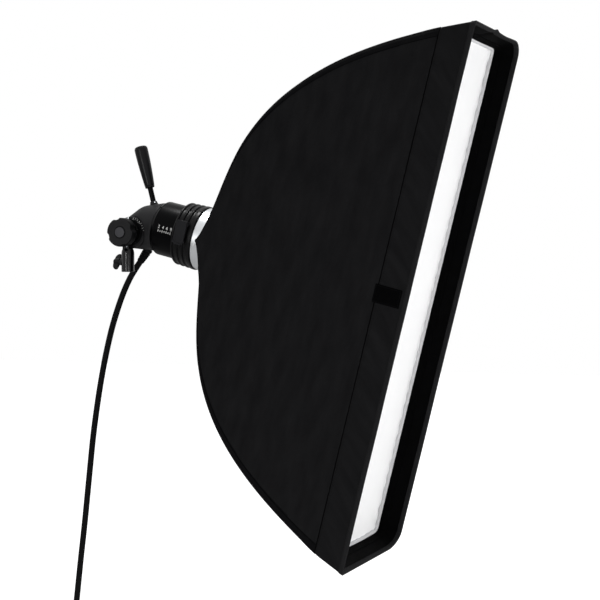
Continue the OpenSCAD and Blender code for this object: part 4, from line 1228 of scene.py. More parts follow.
def make_diffusers():
    """The front diffuser with its hem, and the inner one half way."""
    front_x = reach("front_diffuser", ring_point, forward)
    half_w = reach("front_diffuser", ring_point, across)[1] - 0.4
    half_h = reach("front_diffuser", ring_point, upward)[1] - 0.4
    front = diffuser_sheet("front_diffuser_cloth", sum(front_x) / 2 + drawn_ahead, half_w, half_h, 1.5, 0.6,
                           41.5, diffuser_cloth)
    belongs(front, "softbox", "diffuser_cloth", "front_diffuser")
    hem = hem_band(*reach("diffuser_hem", ring_point, forward))
    belongs(hem, "softbox", "diffuser_cloth", "diffuser_hem")
    inner_x = reach("inner_diffuser", ring_point, forward)
    inner_w = reach("inner_diffuser", ring_point, across)[1]
    inner_h = reach("inner_diffuser", ring_point, upward)[1]
    inner = diffuser_sheet("inner_diffuser_cloth", sum(inner_x) / 2, inner_w, inner_h, 2, 0.4, 47.5,
                           diffuser_cloth, 30, 60)
    belongs(inner, "softbox", "diffuser_cloth", "inner_diffuser")


hem_out = -fabric_t - 1.3
hem_section = [(0, 0), (0.5, 0.05), (0.96, 0), (1, -0.6), (0.9, -1.6), (0.5, -2.0), (0.12, -1.5), (0, -0.8)]
hem_turned = 0.78
hem_back = 1.2
hem_gather = 0.12
hem_gather_pitch = 24


def hem_band(start, end):
    """The diffuser's hem, turned forwards onto the loop tape: a soft roll, gathered by its elastic."""
    grid = []
    for share, out in hem_section:
        row = []
        for p in lip_loop(start + drawn_ahead - hem_back + (end - start) * hem_turned * share, hem_out + out):
            run = p.z if abs(p.y) > abs(p.z) * 0.3 else p.y
            wave = math.sin(2 * math.pi * run / hem_gather_pitch + 2.5 * wrinkle(run, p.y, 53.5, 30))
            row.append(p + Vector((hem_gather * wave * share, 0, 0)))
        grid.append(row)
    # The hem's grey tape is painted shade along the diffuser's edge
    piece = grid_piece("diffuser_hem_roll", grid, box_frame, hem_elastic, close_rows=True, close_columns=True)
    return smooth(clean(piece), 70)


make_panels()
make_lip()
make_diffusers()


# Sewn details on the softbox
def mirrored(line, y_sign, z_sign):
    """A line of the far top corner, turned over to another corner."""
    return [(x, y_sign * y, z_sign * z) for x, y, z in line]


def corner_name(y_sign, z_sign):
    """What a corner is called in a piece's name."""
    return ("far" if y_sign > 0 else "near") + ("_top" if z_sign > 0 else "_bottom")


# Seams: the height where the corners' piping starts, its points, the first of a sleeve seam's, and radii
piping_rise = 44
piping_steps = 120
sleeve_first = 8
piping_r = 1.1
sleeve_seam_r = 0.45
lip_fold_r = 1.0
trim_sides = 8


def make_seams():
    """Piping along the four corners, and stitches beside it, along the lip's seam and on the binding."""
    start = find(piping_rise, 1)
    params = [start + (seam_t - start) * k / piping_steps for k in range(piping_steps + 1)]
    signs = [(y, z) for y in (-1, 1) for z in (-1, 1)]
    inset = corner_r * (1 - math.sqrt(0.5)) - 0.1
    for k, (y_sign, z_sign) in enumerate(signs):
        line = []
        for t in params:
            ahead, rise = outline(t)
            line.append((ahead, half_width(rise) - inset - edge_in(ahead, rise, inset), rise - inset))
        piping = tube(f"corner_piping_{k + 1}", mirrored(line, y_sign, z_sign), piping_r, trim_sides,
                      box_frame, dark_webbing)
        belongs(piping, "softbox", "binding_tape")
    lines = []
    for y_sign, z_sign in signs:
        sleeve = []
        for t in params:
            ahead, rise = outline(t)
            z = rise - sleeve_seam_at
            out = side_fold(ahead, rise, z, near_seed if y_sign < 0 else far_seed)
            sleeve.append((ahead, half_width(rise) + out + 0.2, z))
        lines.append(mirrored(sleeve[sleeve_first:], y_sign, z_sign))
        # Near-black loop pile laid along the sleeve seam: a painted shadow line in its groove
        seam = tube("sleeve_seam_" + corner_name(y_sign, z_sign), lines[-1], sleeve_seam_r, trim_sides,
                    box_frame, pile)
        belongs(seam, "softbox", "binding_tape")
    # The lip seam's near-black fold is painted shadow in the groove where the lip joins the panels
    joint = tube("lip_seam_fold", lip_loop(seam_x + 0.2, -0.1), lip_fold_r, trim_sides, box_frame, pile,
                 closed=True)
    belongs(joint, "softbox", "binding_tape")
    binding_row = box_depth - binding_w + 1.6
    lines += [lip_line(seam_x + 3.4, 0.25), lip_line(binding_row, 0.95),
              lip_line(binding_row, -fabric_t - 0.95)]
    rows = stitches("shell_stitches", lines, box_frame, black_thread)
    belongs(rows, "softbox", "binding_tape")


patch_w = 47
patch_h = 30
patch_t = 1.2
patch_start = -4
patch_rise = 3


def lip_spot(side, x, along, out):
    """A point over the lip's outside, on one of its four sides, that far along it from its middle."""
    rise = outline(find(x, 0))[1]
    if side in ("near", "far"):
        return x, (half_width(rise) + out) * (1 if side == "far" else -1), along + patch_rise
    return x, along, (rise + out) * (1 if side == "top" else -1)


def make_patches():
    """Hook-and-loop patches in the middle of the lip's four sides, with a sewn border."""
    steps = 12
    inset = 2.2
    for side in ("near", "far", "top", "bottom"):
        grid = []
        for i in range(steps + 1):
            row = []
            for j in range(steps + 1):
                edge = min(i, steps - i, j, steps - j)
                thick = patch_t * min(1, 0.55 + 0.45 * edge)
                row.append(lip_spot(side, seam_x + patch_start + patch_w * i / steps,
                                    patch_h * (j / steps - 0.5), 0.25 + thick))
            grid.append(row if side in ("near", "top") else row[::-1])
        patch = walled(grid_piece(side + "_patch", grid, box_frame, pile), patch_t * 0.9, -1)
        smooth(clean(patch), 60)
        belongs(patch, "softbox", "hook_and_loop", *(["edge_patches"] if side == "near" else []))
        border = []
        for u, v in ((0, 0), (1, 0), (1, 1), (0, 1), (0, 0)):
            x = seam_x + patch_start + inset + (patch_w - 2 * inset) * u
            border.append(lip_spot(side, x, (patch_h - 2 * inset) * (v - 0.5), patch_t + 0.45))
        sewn = stitches(side + "_patch_stitches", [border], box_frame, black_thread, 3.2, 2.2, 0.6)
        belongs(sewn, "softbox", "binding_tape")


def make_ring_cuff():
    """The hem of the hole round the ring: a fat roll of shell cloth that sits on the metal."""
    hole_r = ring_r + 1.6
    steps = 144
    roll_r = 1.5
    loop = []
    for k in range(steps):
        a = 2 * math.pi * k / steps
        y, z = hole_r * math.cos(a), hole_r * math.sin(a)
        loop.append((outline(find(max(abs(z), 0.3), 1))[0], y, z))
    cuff = tube("ring_cuff", loop, roll_r, 12, box_frame, dark_webbing, closed=True)
    belongs(cuff, "softbox", "binding_tape")


def make_inside():
    """Pockets at the rods' ends and the straps that hold the inner diffuser."""
    low, high = reach("corner_pockets", ring_point, forward)
    wide = reach("corner_pockets", ring_point, across)[1]
    tall = reach("corner_pockets", ring_point, upward)[1]
    pocket = 26
    outline_points = rounded([(0, 0), (pocket, 0), (pocket, pocket), (0, pocket)], 4, 4, closed=True)
    first = True
    for y_sign in (-1, 1):
        for z_sign in (-1, 1):
            origin = Vector((low, y_sign * wide - pocket * (y_sign > 0),
                             z_sign * tall - pocket * (z_sign > 0)))
            piece = extruded("pocket_" + corner_name(y_sign, z_sign), outline_points, high - low,
                             box_frame @ Matrix.Translation(origin * MM), dark_webbing, 0.6)
            belongs(piece, "softbox", "binding_tape", *(["corner_pockets"] if first else []))
            first = False
    straps = softened("inner_strap_webbing", "inner_straps", dark_webbing, 0.5, 1)
    belongs(straps, "softbox", "binding_tape", "inner_straps")


make_seams()
make_patches()
make_ring_cuff()
make_inside()

# How the made-up cloth hangs: drawn back above the ring, and sagging under its weight along the bottom
rear_rises = (-70, -45, -15, 0, 25, 100, 180, 240, 300)
rear_draws = (0, 2.5, 3.5, 2.5, 4.5, 4.5, 4, 2, 0)
near_sag = 2
middle_sag = 8
sag_middle = 40
draw_reach = 45
sag_reach = 100
sag_inset = 10


def settle(piece):
    """Moves a piece of cloth by the way that it is drawn back and the way that it sags."""
    place = np.array(box_frame)
    points = np.empty(len(piece.data.vertices) * 3, np.float32)
    piece.data.vertices.foreach_get("co", points)
    local = (points.reshape(-1, 3) - place[:3, 3]) @ place[:3, :3] / MM
    x, y, z = local.T
    side = np.array([outline(t) for t in np.linspace(0, 1, 200)])
    inside = x - np.interp(np.abs(z), side[:, 1], side[:, 0])
    drawn = np.interp(z, rear_rises, rear_draws) * np.exp(-(np.maximum(inside, 0) / draw_reach) ** 2)
    behind = np.exp(-(np.minimum(x - seam_x - sag_inset, 0) / sag_reach) ** 2)
    ahead = np.clip((box_depth - x) / (lip_depth - sag_inset), 0, 1)
    low = np.clip(-z / seam_height, 0, 1) ** 6
    across_share = 1 - ((y - sag_middle) / (box_width / 2 + sag_middle)) ** 2
    sag = (near_sag + middle_sag * np.clip(across_share, 0, 1)) * np.minimum(behind, ahead) * low
    local = np.stack([x - drawn, y, z - sag], axis=1) * MM
    moved = local @ place[:3, :3].T + place[:3, 3]
    piece.data.vertices.foreach_set("co", moved.astype(np.float32).ravel())
    piece.data.update()


cloth_names = ("panel_cloth", "front_lip", "edge_binding", "loop_tape", "front_diffuser", "diffuser_hem",
               "corner_piping", "sleeve_seam", "lip_seam", "shell_stitches", "_patch", "ring_cuff")
for made in list(bpy.data.objects):
    if any(part in made.name for part in cloth_names) and made.name not in frame["nodes"]:
        settle(made)

# Flash head: sizes along the barrel, ahead of the ring seat
barrel_r = reach("barrel", ring_point, across)[1]
barrel_rear, barrel_front = reach("barrel", ring_point, forward)
collar_rear, collar_front = reach("clamp_collar", ring_point, forward)
ring_rear, ring_front = reach("speed_ring", ring_point, forward)


def make_barrel():
    """The barrel: a bevelled rear rim, a fine groove behind the body, and a deep mouth."""
    wall = 4
    depth = 23
    body = turned("flash_barrel", [
        (0, barrel_rear), (barrel_r - 4.5, barrel_rear), (barrel_r - 0.5, barrel_rear + 5.6),
        (barrel_r - 0.3, barrel_rear + 6.4), (barrel_r - 0.9, barrel_rear + 6.6),
        (barrel_r - 0.9, barrel_rear + 7.4), (barrel_r, barrel_rear + 7.8), (barrel_r, barrel_front - 1),
        (barrel_r - 1, barrel_front), (barrel_r - wall, barrel_front),
        (barrel_r - wall, barrel_rear + depth), (0, barrel_rear + depth),
    ], box_frame, barrel_coat, edge=0.35, segments=192)
    belongs(body, "head", "black_cast_metal", "barrel")


def printed(name, words, size, place, material):
    """Plain figures as a thin mesh: place turns a point of the flat figures into the row frame."""
    text = bpy.data.curves.new(name, "FONT")
    text.body = words
    text.size = size
    text.align_x = "CENTER"
    text.align_y = "CENTER"
    piece = bpy.data.objects.new(name, text)
    bpy.context.scene.collection.objects.link(piece)
    bpy.context.view_layer.update()
    mesh = bpy.data.meshes.new_from_object(piece.evaluated_get(bpy.context.evaluated_depsgraph_get()))
    bpy.data.objects.remove(piece)
    for vertex in mesh.vertices:
        vertex.co = place(vertex.co.x, vertex.co.y)
    mesh.materials.clear()
    return new_piece(name, mesh, material)


scale_middle = -56.5
scale_figures = ("2", "4", "6", "8")
scale_pitch = 8


def make_focus_scale():
    """A scale for the collar's place, printed along the barrel's near side: figures over ticks."""
    lift = 0.08

    def on_barrel(along, round_up):
        angle = math.pi - round_up / barrel_r
        r = barrel_r + lift
        return box_frame @ (Vector((along, r * math.cos(angle), r * math.sin(angle))) * MM)

    for k, figure in enumerate(scale_figures):
        middle = scale_middle + scale_pitch * (k - 1.5)
        digit = printed(f"focus_figure_{figure}", figure, 8, lambda x, y, m=middle: on_barrel(m + x, 5.0 + y),
                        print_ink)
        belongs(digit, "head", "black_cast_metal")
    for k in range(7):
        tall = 4.0 if k % 2 == 0 else 2.8
        place = Vector((scale_middle + scale_pitch * (k / 2 - 1.5), 0, 0)) * MM
        belongs(bars(f"focus_tick_{k + 1}", box_frame @ Matrix.Translation(place), print_ink, 1, 182.4, 0,
                     barrel_r, 0, (1.2, 0.16, tall)), "head", "black_cast_metal")


def make_housing():
    """The moulded rear housing: the hub, the crown and the barrel's end blended into one skin."""
    hub_r = reach("tilt_hub", tilt_point, forward)[1] - 0.5
    hub_half = reach("tilt_hub", tilt_point, -across)[0]
    rise = (ring_point - tilt_point).dot(upward) / MM
    rear = (ring_point - tilt_point).dot(forward) / MM + barrel_rear
    end_r = barrel_r - 5
    shoulder_w = 4
    crown_r = 38
    crown = Vector((21, 0, 17))
    edge_r = 5
    shape = bmesh.new()
    for k in range(96):
        a = 2 * math.pi * k / 96
        c, s = math.cos(a), math.sin(a)
        for b in range(0, 91, 18):
            lean = math.radians(b)
            r = hub_r - edge_r + edge_r * math.cos(lean)
            for side in (-1, 1):
                shape.verts.new((r * c, side * (hub_half - edge_r + edge_r * math.sin(lean)), r * s))
        for x in (rear - shoulder_w, rear + 2):
            shape.verts.new((x, end_r * c, rise + end_r * s))
        for b in range(-80, 81, 8):
            lean = math.radians(b)
            round_r = math.cos(lean)
            shape.verts.new(crown + crown_r * Vector((round_r * c, math.sin(lean), round_r * s)))
    hull = bmesh.ops.convex_hull(shape, input=shape.verts)
    loose = [v for v in hull["geom_interior"] if isinstance(v, bmesh.types.BMVert)]
    bmesh.ops.delete(shape, geom=loose, context="VERTS")
    bmesh.ops.transform(shape, matrix=head_frame @ Matrix.Scale(MM, 4), verts=shape.verts)
    mesh = bpy.data.meshes.new("rear_housing_skin")
    shape.to_mesh(mesh)
    shape.free()
    housing = clean(new_piece("rear_housing_skin", mesh, housing_plastic))
    disc = turned("disc_cutter", [(0, hub_half - 0.2), (hub_r + 1.1, hub_half - 0.2), (hub_r + 1.1, 60),
                                  (0, 60)], lock_frame, housing_plastic, edge=0.1, segments=96)
    ahead = turned("end_cutter", [(0, barrel_rear), (70, barrel_rear), (70, barrel_front), (0, barrel_front)],
                   box_frame, housing_plastic, edge=0.1, segments=96)
    for cutter in (disc, ahead):
        cut = housing.modifiers.new(cutter.name, "BOOLEAN")
        cut.operation = "DIFFERENCE"
        cut.solver = "EXACT"
        cut.object = cutter
    moulded(housing, 1.0, 8)
    for cutter in (disc, ahead):
        bpy.data.objects.remove(cutter)
    belongs(housing, "head", "black_plastic", "rear_housing")


def small_screw(name, matrix, head_r):
    """A plated pan-head screw with a socket in its head, standing out along its frame's x axis."""
    return turned(name, [(0, -1), (head_r, -1), (head_r, 0.5), (0.7 * head_r, 1.1), (0.45 * head_r, 1.15),
                         (0.4 * head_r, 0.3), (0, 0.3)], matrix, bright_steel, edge=0.2, segments=32)


def make_hub():
    """The tilt hub: a flat disc with a bevelled rim, degree ticks and figures, and two screws."""
    inner, outer = reach("tilt_hub", tilt_point, -across)
    disc_r = reach("tilt_hub", tilt_point, forward)[1]
    bore = 5.4
    disc = turned("tilt_hub_disc", [
        (bore, inner), (disc_r - 0.4, inner), (disc_r, inner + 0.6), (disc_r, outer - 1.6),
        (disc_r - 1.6, outer), (bore, outer),
    ], lock_frame, housing_plastic, edge=0.6, closed=True)
    belongs(disc, "head", "black_plastic", "tilt_hub")
    ticks = bars("tilt_degree_ticks", lock_frame, print_ink, 8, 22, 10, disc_r - 2.6, outer + 0.02,
                 (0.15, 2.4, 0.8))
    belongs(ticks, "head", "black_plastic")
    figure_r = disc_r - 6.6
    for figure, degrees in (("0", 32), ("30", 62), ("60", 92)):
        lean = math.radians(degrees)

        def on_disc(x, y, lean=lean):
            up, aside = figure_r + y, x
            return lock_frame @ (Vector((outer + 0.06, up * math.cos(lean) + aside * math.sin(lean),
                                         up * math.sin(lean) - aside * math.cos(lean))) * MM)

        belongs(printed(f"tilt_figure_{figure}", figure, 5.8, on_disc, print_ink), "head", "black_plastic")
    screw_at = disc_r - 2.6
    for k, degrees in enumerate((115, 235)):
        lean = math.radians(degrees)
        place = Vector((outer, screw_at * math.cos(lean), screw_at * math.sin(lean))) * MM
        belongs(small_screw(f"hub_screw_{k + 1}", lock_frame @ Matrix.Translation(place), 1.8), "head",
                "bright_steel")


def make_knob():
    """The clamp knob: four wide lobes, a dished face and a domed cap in a groove."""
    inner, outer = reach("tilt_knob", tilt_point, -across)
    knob_r = reach("tilt_knob", tilt_point, forward)[1]
    cap_inner, cap_outer = reach("knob_cap", tilt_point, -across)
    cap_r = reach("knob_cap", tilt_point, forward)[1]
    knob_turned = 30
    bore = 5.2
    lobe_depth = 2.5
    groove = 0.9
    side = [(knob_r, inner + 5 + (outer - 1.7 - inner - 5) * k / 8) for k in range(9)]
    face_r = knob_r - 1.9
    dish = [(face_r - (face_r - cap_r - 4) * k / 8, outer - 0.5 * math.sin(math.pi * k / 8))
            for k in range(9)]
    profile = [(bore, inner), (knob_r - 6, inner), (knob_r - 4, inner + 3)] + side + dish
    profile += [(cap_r + 1.4, outer - groove), (bore, outer - groove)]
    knob = turned("clamp_knob", profile, Matrix(), knob_plastic, edge=1.2, segments=208, closed=True,
                  angle=60)
    shaped(knob, knob_lobes, Lobes=4.0, Depth=lobe_depth * MM, Inner=(cap_r + 6) * MM, Outer=knob_r * MM,
           Material=knob_plastic)
    # The outward face takes the lighter copy: painted light on the face
    knob.data.materials.append(knob_face_painted_light)
    for face in knob.data.polygons:
        if face.normal.x > 0.8 and face.center.x > (outer - 0.7) * MM:
            face.material_index = 1
    knob.data.transform(lock_frame @ Matrix.Rotation(math.radians(knob_turned), 4, "X"))
    belongs(smooth(knob, 60), "tilt_knob", "black_plastic", "tilt_knob")
    cap = turned("clamp_knob_cap", [
        (0, cap_inner), (cap_r, cap_inner), (cap_r, cap_inner + 1.2), (cap_r - 2, cap_outer - 0.5),
        (cap_r - 6, cap_outer - 0.05), (0, cap_outer),
    ], lock_frame, cap_plastic, edge=0.7, segments=96)
    belongs(cap, "tilt_knob", "black_plastic", "knob_cap")


neck_screws = ((3.2, 49.8), (2.8, 44.9))
neck_side = -9


def make_bracket():
    """The cast stand bracket and its wing screw."""
    bracket = softened("stand_bracket_casting", "stand_bracket", cast_bracket, 0.6, 5)
    belongs(bracket, "stand_bracket", "black_cast_metal", "stand_bracket")
    start, end = reach("wing_screw", Vector(), Vector((1, 0, 0)))
    screw_z = joints["wing_turn"]["pos_m"][2]
    screw_r = reach("wing_screw", Vector(), across)[1]
    pitch = 1.25
    threads = int((end - start - 3) / pitch)
    profile = [(0, start), (screw_r - 0.8, start), (screw_r, start + 0.8)]
    for k in range(threads):
        x = start + 2 + pitch * k
        profile += [(screw_r, x), (screw_r, x + 0.3), (screw_r - 0.6, x + 0.7), (screw_r - 0.6, x + 0.85)]
    profile += [(screw_r - 0.6, end - 0.2), (screw_r - 1, end), (0, end)]
    place = frame_at(Vector((0, 0, screw_z)), Vector((1, 0, 0)), across)
    screw = turned("wing_screw_thread", profile, place, bright_steel, edge=0.12, segments=48)
    belongs(screw, "wing_screw", "bright_steel", "wing_screw")
    for k, (x, z) in enumerate(neck_screws):
        place = frame_at(Vector((x, neck_side, z)) * MM, -across, Vector((1, 0, 0)))
        belongs(small_screw(f"neck_screw_{k + 1}", place, 1.3), "stand_bracket", "bright_steel")


wing_lean = math.radians(35)


def make_wing():
    """The wing grip: a rounded leaf across a tapered hub, turned as it stands when it is done up."""
    outwards = Vector((-1, 0, 0))
    radial = Vector((0, math.sin(wing_lean), math.cos(wing_lean)))
    normal = outwards.cross(radial)
    root, tip = reach("wing_grip", Vector(), outwards)
    axis = Vector((0, 0, joints["wing_turn"]["pos_m"][2]))
    thick = 4.6
    half_span = 16
    inner = 4.5
    bore = 4.05
    floor = tip - 1.9
    leaf = []
    for k in range(40):
        c, s = math.cos(math.pi * k / 20), math.sin(math.pi * k / 20)
        reach_out = (tip - root - inner) if c > 0 else inner
        leaf.append((root + inner + reach_out * math.copysign(abs(c) ** 0.8, c),
                     half_span * math.copysign(abs(s) ** 0.8, s)))
    grip = extruded("wing_grip_leaf", leaf, thick, frame_at(axis - normal * thick / 2 * MM, normal, outwards),
                    grip_plastic, 1.5)
    belongs(grip, "wing_screw", "black_plastic", "wing_grip")
    hub = turned("wing_grip_hub", [
        (bore, root), (6.0, root), (6.4, root + 0.7), (5.4, tip - 2.2), (4.6, tip - 0.6), (0, tip - 0.3),
        (0, floor), (bore, floor),
    ], frame_at(axis, outwards, across), grip_plastic, edge=0.5, segments=64, closed=True)
    belongs(hub, "wing_screw", "black_plastic")


handle_lean = math.radians(28.5)
handle_root = Vector((16.7, 0, 56))


def make_handle():
    """The pan handle: a plain rod in a boss with a set screw, and a tapered grip with a rounded end."""
    lean_axis = (upward * math.cos(handle_lean) - forward * math.sin(handle_lean)).normalized()
    origin = head_frame @ (handle_root * MM)
    along = frame_at(origin, lean_axis, across)
    rod_start, rod_end = reach("handle_rod", origin, lean_axis)
    rod_r = reach("handle_rod", origin, across)[1]
    grip_start, grip_end = reach("handle_grip", origin, lean_axis)
    grip_r = reach("handle_grip", origin, across)[1]
    bore = rod_r + 0.05
    foot_r = 8.8
    rod = turned("pan_handle_rod", [(0, rod_start), (rod_r, rod_start), (rod_r, rod_end), (0, rod_end)],
                 along, barrel_coat, edge=0.5, segments=64)
    belongs(rod, "head", "black_cast_metal", "handle_rod")
    boss = turned("pan_handle_boss", [
        (bore, -6), (rod_r + 4.5, -6), (rod_r + 3.2, -1), (rod_r + 1.8, 3), (rod_r + 1.2, 5.5), (bore, 5.5),
    ], along, housing_plastic, edge=0.8, segments=64, closed=True)
    belongs(boss, "head", "black_plastic")
    screw_turn = Matrix.Rotation(math.radians(45), 4, "X") @ Matrix.Rotation(math.radians(-90), 4, "Z")
    screw_turn = screw_turn @ Matrix.Translation(Vector((rod_r + 1.6, 0, 0)) * MM)
    screw_place = along @ Matrix.Translation(Vector((3.2, 0, 0)) * MM) @ screw_turn
    set_screw = small_screw("pan_handle_screw", screw_place, 1.7)
    belongs(set_screw, "head", "bright_steel")
    length = grip_end - grip_start
    taper = [(foot_r + (grip_r - foot_r) * math.sin(math.pi / 2 * k / 12),
              grip_start + 4 + (length - 12) * k / 12) for k in range(13)]
    profile = [(bore, grip_start), (foot_r - 1.4, grip_start), (foot_r - 0.2, grip_start + 1.2),
               (foot_r - 0.2, grip_start + 2.6), (foot_r - 0.8, grip_start + 2.9),
               (foot_r - 0.8, grip_start + 3.4)]
    profile += taper
    profile += [(grip_r, grip_end - 5), (grip_r - 1.4, grip_end - 1.6), (grip_r - 4.5, grip_end - 0.2),
                (0, grip_end)]
    grip = turned("pan_handle_grip", profile, along, grip_plastic, edge=1.0, segments=96, angle=50)
    belongs(grip, "head", "soft_grip", "handle_grip")


def make_gland():
    """The cable gland: a hexagon nut and a soft strain relief with rings that bend."""
    start = cable_path[0] * MM
    axis = (cable_path[0] - cable_path[route_steps]).normalized()
    along = frame_at(start, axis, across)
    low = reach("cable_gland", start, axis)[0]
    nut_r = reach("cable_gland", start, across)[1] - 2
    relief = 22
    rings = 5
    ring_pitch = 3.9
    bore = cable_d / 2 + 0.05
    tip_r = cable_d / 2 + 0.9
    root_r = cable_d / 2 + 2.6
    profile = [(bore, low), (tip_r - 0.3, low), (tip_r, low + 0.8)]
    for k in range(rings):
        r = tip_r + (root_r - tip_r) * (k + 1) / rings
        x = low + 2 + ring_pitch * k
        profile += [(r, x), (r, x + 2.2), (r - 0.9, x + 2.5), (r - 0.9, x + 3.6)]
    nut_at = low + relief
    profile += [(root_r, nut_at), (bore, nut_at)]
    boot = turned("gland_strain_relief", profile, along, soft_rubber, edge=0.3, segments=64, closed=True)
    nut = turned("gland_nut", [
        (0, nut_at), (nut_r - 1.6, nut_at), (nut_r, nut_at + 1.4), (nut_r, nut_at + 5),
        (nut_r - 1.0, nut_at + 6), (0, nut_at + 6),
    ], along, soft_rubber, edge=0.3, segments=6, angle=20)
    belongs(boot, "head", "soft_grip", "cable_gland")
    belongs(nut, "head", "soft_grip")


latch_pin = Vector(joints["latch_swing"]["pos_m"])
ear_r = 4.2


def make_collar():
    """The clamp collar: thin rounded ribs over wide grooves, a slit, and one lug for the latch's pin."""
    rear_r, front_r = 56.5, 57.6
    rim_w = 8
    ribs = 3
    rib_w = 4.6
    groove = 2.6
    # The ring's seat, the recess that holds its flange, and the slit with its place round the collar
    seat_r, recess_r = 52.2, 54.5
    recess_front, recess_rear = -2, -6
    slit_w = 2
    slit_at = 180 - 56
    pitch = (collar_front - collar_rear - rim_w) / ribs
    bore = barrel_r + 0.2
    profile = [(bore, collar_rear)]
    for k in range(ribs):
        r = rear_r + (front_r - rear_r) * k / ribs
        x = collar_rear + pitch * k
        profile += [(r - groove if k else r - 1.2, x), (r - 0.8, x + 0.5), (r, x + 1.7), (r, x + rib_w - 1.7),
                    (r - 0.8, x + rib_w - 0.5), (r - groove, x + rib_w)]
    profile += [(front_r - groove, collar_front - rim_w - 0.2), (front_r, collar_front - rim_w),
                (front_r, collar_front - 1.8), (front_r - 1.6, collar_front), (seat_r, collar_front),
                (seat_r, recess_front), (recess_r, recess_front), (recess_r, recess_rear),
                (bore, recess_rear)]
    slit = math.degrees(slit_w / front_r)
    collar = turned("clamp_collar_ribs", profile, box_frame, collar_plastic, edge=1.4, segments=192,
                    closed=True, gap=slit, gap_at=slit_at)
    belongs(collar, "clamp_collar", "black_plastic", "clamp_collar")
    arc = [(ear_r * math.cos(a), ear_r * math.sin(a)) for a in np.linspace(math.pi / 2, 3 * math.pi / 2, 13)]
    inwards = 9
    lug_w = 13.7
    lug = extruded("collar_lug", arc + [(inwards, -ear_r), (inwards, ear_r)], lug_w,
                   frame_at(latch_pin - forward * lug_w / 2 * MM), collar_plastic, 0.5)
    belongs(lug, "clamp_collar", "black_plastic")


def make_latch():
    """The latch lever: a flat plate with a chamfered foot and lip, on two cheeks that hold the pin."""
    start, end = reach("clamp_latch", latch_pin, forward)
    low, high = reach("clamp_latch", latch_pin, upward)
    plate_t = 3.2
    cheek_w = 3.2
    cheek_r = 3.4
    back = ear_r + 0.4
    foot = 3.5
    plate = [(start, high), (start, low + foot), (start + 6, low), (end - 4, low), (end, low + foot),
             (end, high)]
    outwards = frame_at(latch_pin - across * back * MM, -across, forward)
    lever = extruded("clamp_latch_lever", rounded(plate, 1.2, 3, closed=True), plate_t, outwards,
                     latch_plastic, 0.7)
    belongs(lever, "clamp_latch", "black_plastic", "clamp_latch")
    lip = plate[1:-1]
    lip += [(x, z + 2.2) for x, z in reversed(lip)]
    foot_lip = extruded("clamp_latch_lip", lip, plate_t + 2.2, outwards, latch_plastic, 0.8)
    belongs(foot_lip, "clamp_latch", "black_plastic")
    arc = [(cheek_r * math.cos(a), cheek_r * math.sin(a)) for a in np.linspace(-math.pi / 2, math.pi / 2, 13)]
    for k, x in enumerate((start, end - cheek_w)):
        cheek = extruded(f"clamp_latch_cheek_{k + 1}", arc + [(-back - 1, cheek_r), (-back - 1, -cheek_r)],
                         cheek_w, frame_at(latch_pin + forward * x * MM), latch_plastic, 0.4)
        belongs(cheek, "clamp_latch", "black_plastic")


def make_ring():
    """The speed ring: a turned aluminium band, polished, trapped in the collar by its rear flange."""
    bore = 49.2
    flange_r = 54
    neck_r = 52
    ring = turned("speed_ring_band", [
        (bore, ring_rear), (flange_r, ring_rear), (flange_r, ring_rear + 3), (neck_r, ring_rear + 3.2),
        (neck_r, 0.4), (ring_r - 0.7, 0.4), (ring_r, 1.1), (ring_r, ring_front - 0.7),
        (ring_r - 0.7, ring_front), (bore, ring_front),
    ], box_frame, ring_metal, edge=0.35, segments=256, closed=True)
    belongs(ring, "softbox", "ring_aluminium", "speed_ring")


make_barrel()
make_focus_scale()
make_housing()
make_hub()
make_knob()
make_bracket()
make_wing()
make_handle()
make_gland()
make_collar()
make_latch()
make_ring()

# Carried-over nodes take these finishes
node_finishes = {
    "friction_washer": soft_rubber, "thrust_washer": bright_steel, "tilt_bolt": bright_steel,
    "latch_pin": bright_steel, "lamp_base": ceramic, "lamp_socket": ceramic,
    "modelling_lamp": frosted_glass, "flash_tube": clear_glass, "glass_dome": clear_glass,
    "rod_sockets": rod_steel, "rod_near_top": rod_steel, "rod_near_bottom": rod_steel,
    "rod_far_top": rod_steel, "rod_far_bottom": rod_steel, "rod_tips": soft_rubber,
}
for node_name, node_finish in node_finishes.items():
    node_mesh = frame["nodes"][node_name].data
    node_mesh.materials.clear()
    node_mesh.materials.append(node_finish)


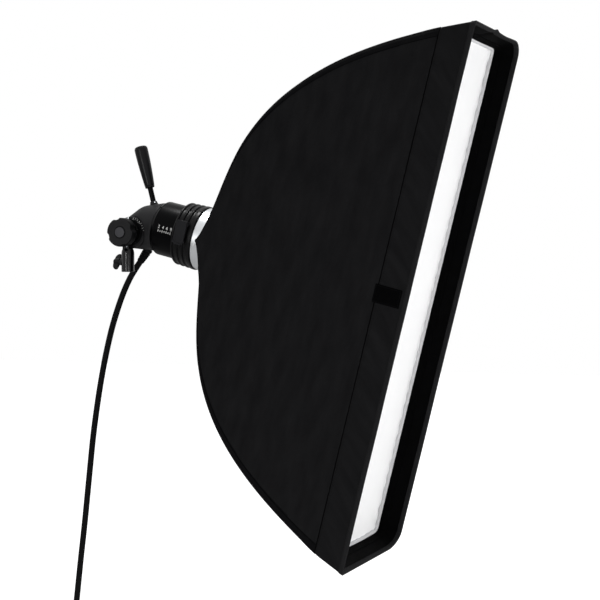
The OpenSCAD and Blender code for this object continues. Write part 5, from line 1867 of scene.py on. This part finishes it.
# Floor, world and lamps
def make_stage():
    """A pale floor just under the plug, that keeps the shadow and goes white away from it."""
    half = 9
    low = cad_box[0].z - 0.006
    corners = [(-half, -half, low), (half, -half, low), (half, half, low), (-half, half, low)]
    mesh = bpy.data.meshes.new("floor")
    mesh.from_pydata(corners, [], [(0, 1, 2, 3)])
    material, tree, shader = finish("pale_floor", "#f2f2f2", 0.9, Specular_IOR_Level=0.1)
    rays = add(tree, "ShaderNodeLightPath")
    place = add(tree, "ShaderNodeTexCoord").outputs["Object"]
    away = add(tree, "ShaderNodeVectorMath", {0: place}, operation="LENGTH")
    glow = add(tree, "ShaderNodeMapRange", {"Value": away.outputs["Value"], "From Min": 1.1, "From Max": 2.2,
                                            "To Min": 0.5, "To Max": 1.0})
    lifted = add(tree, "ShaderNodeMath", {0: rays.outputs["Is Camera Ray"], 1: glow.outputs["Result"]},
                 operation="MULTIPLY")
    white = add(tree, "ShaderNodeEmission", {"Strength": lifted.outputs[0]})
    both = add(tree, "ShaderNodeAddShader", {0: shader.outputs[0], 1: white.outputs[0]})
    tree.links.new(both.outputs[0], tree.nodes["Material Output"].inputs["Surface"])
    new_piece("floor", mesh, material)


def make_world():
    """A white surround for the camera, gloss and glass, and a plain even fill for the rest."""
    world = bpy.data.worlds.new("studio")
    bpy.context.scene.world = world
    world.use_nodes = True
    tree = world.node_tree
    tree.nodes.clear()
    rays = add(tree, "ShaderNodeLightPath")
    shiny = add(tree, "ShaderNodeMath", {0: rays.outputs["Is Camera Ray"], 1: rays.outputs["Is Glossy Ray"]},
                operation="MAXIMUM")
    seen = add(tree, "ShaderNodeMath", {0: shiny.outputs[0], 1: rays.outputs["Is Transmission Ray"]},
               operation="MAXIMUM")
    fill = add(tree, "ShaderNodeBackground", {"Color": linear("#ffffff"), "Strength": 0.2})
    white = add(tree, "ShaderNodeBackground", {"Color": linear("#ffffff"), "Strength": 1.0})
    mixed = add(tree, "ShaderNodeMixShader", {0: seen.outputs[0], 1: fill.outputs[0], 2: white.outputs[0]})
    add(tree, "ShaderNodeOutputWorld", {"Surface": mixed.outputs[0]})


def make_lamp(name, place, target, size, watts):
    """A rectangular lamp that points at a target."""
    data = bpy.data.lights.new(name, "AREA")
    data.shape = "RECTANGLE"
    data.size, data.size_y = size
    data.energy = watts
    lamp = bpy.data.objects.new(name, data)
    lamp.location = place
    lamp.rotation_euler = (Vector(target) - Vector(place)).to_track_quat("-Z", "Y").to_euler()
    bpy.context.scene.collection.objects.link(lamp)


make_stage()
make_world()
make_lamp("strip_lamp", (-0.3, -2.48, 0.05), (0.2, 0.05, 0.0), (0.08, 1.0), 15)
make_lamp("key_lamp", (1.75, -2.05, -0.45), (0.2, 0.05, 0.0), (0.8, 0.8), 18)
make_lamp("front_lamp", (2.5, 0.35, -0.45), (0.55, 0.05, -0.05), (1.6, 1.6), 36)
make_lamp("top_lamp", (-0.1, 0.15, 2.2), (0.0, 0.0, 0.0), (0.2, 0.35), 34)
bpy.context.scene.view_settings.view_transform = "Standard"
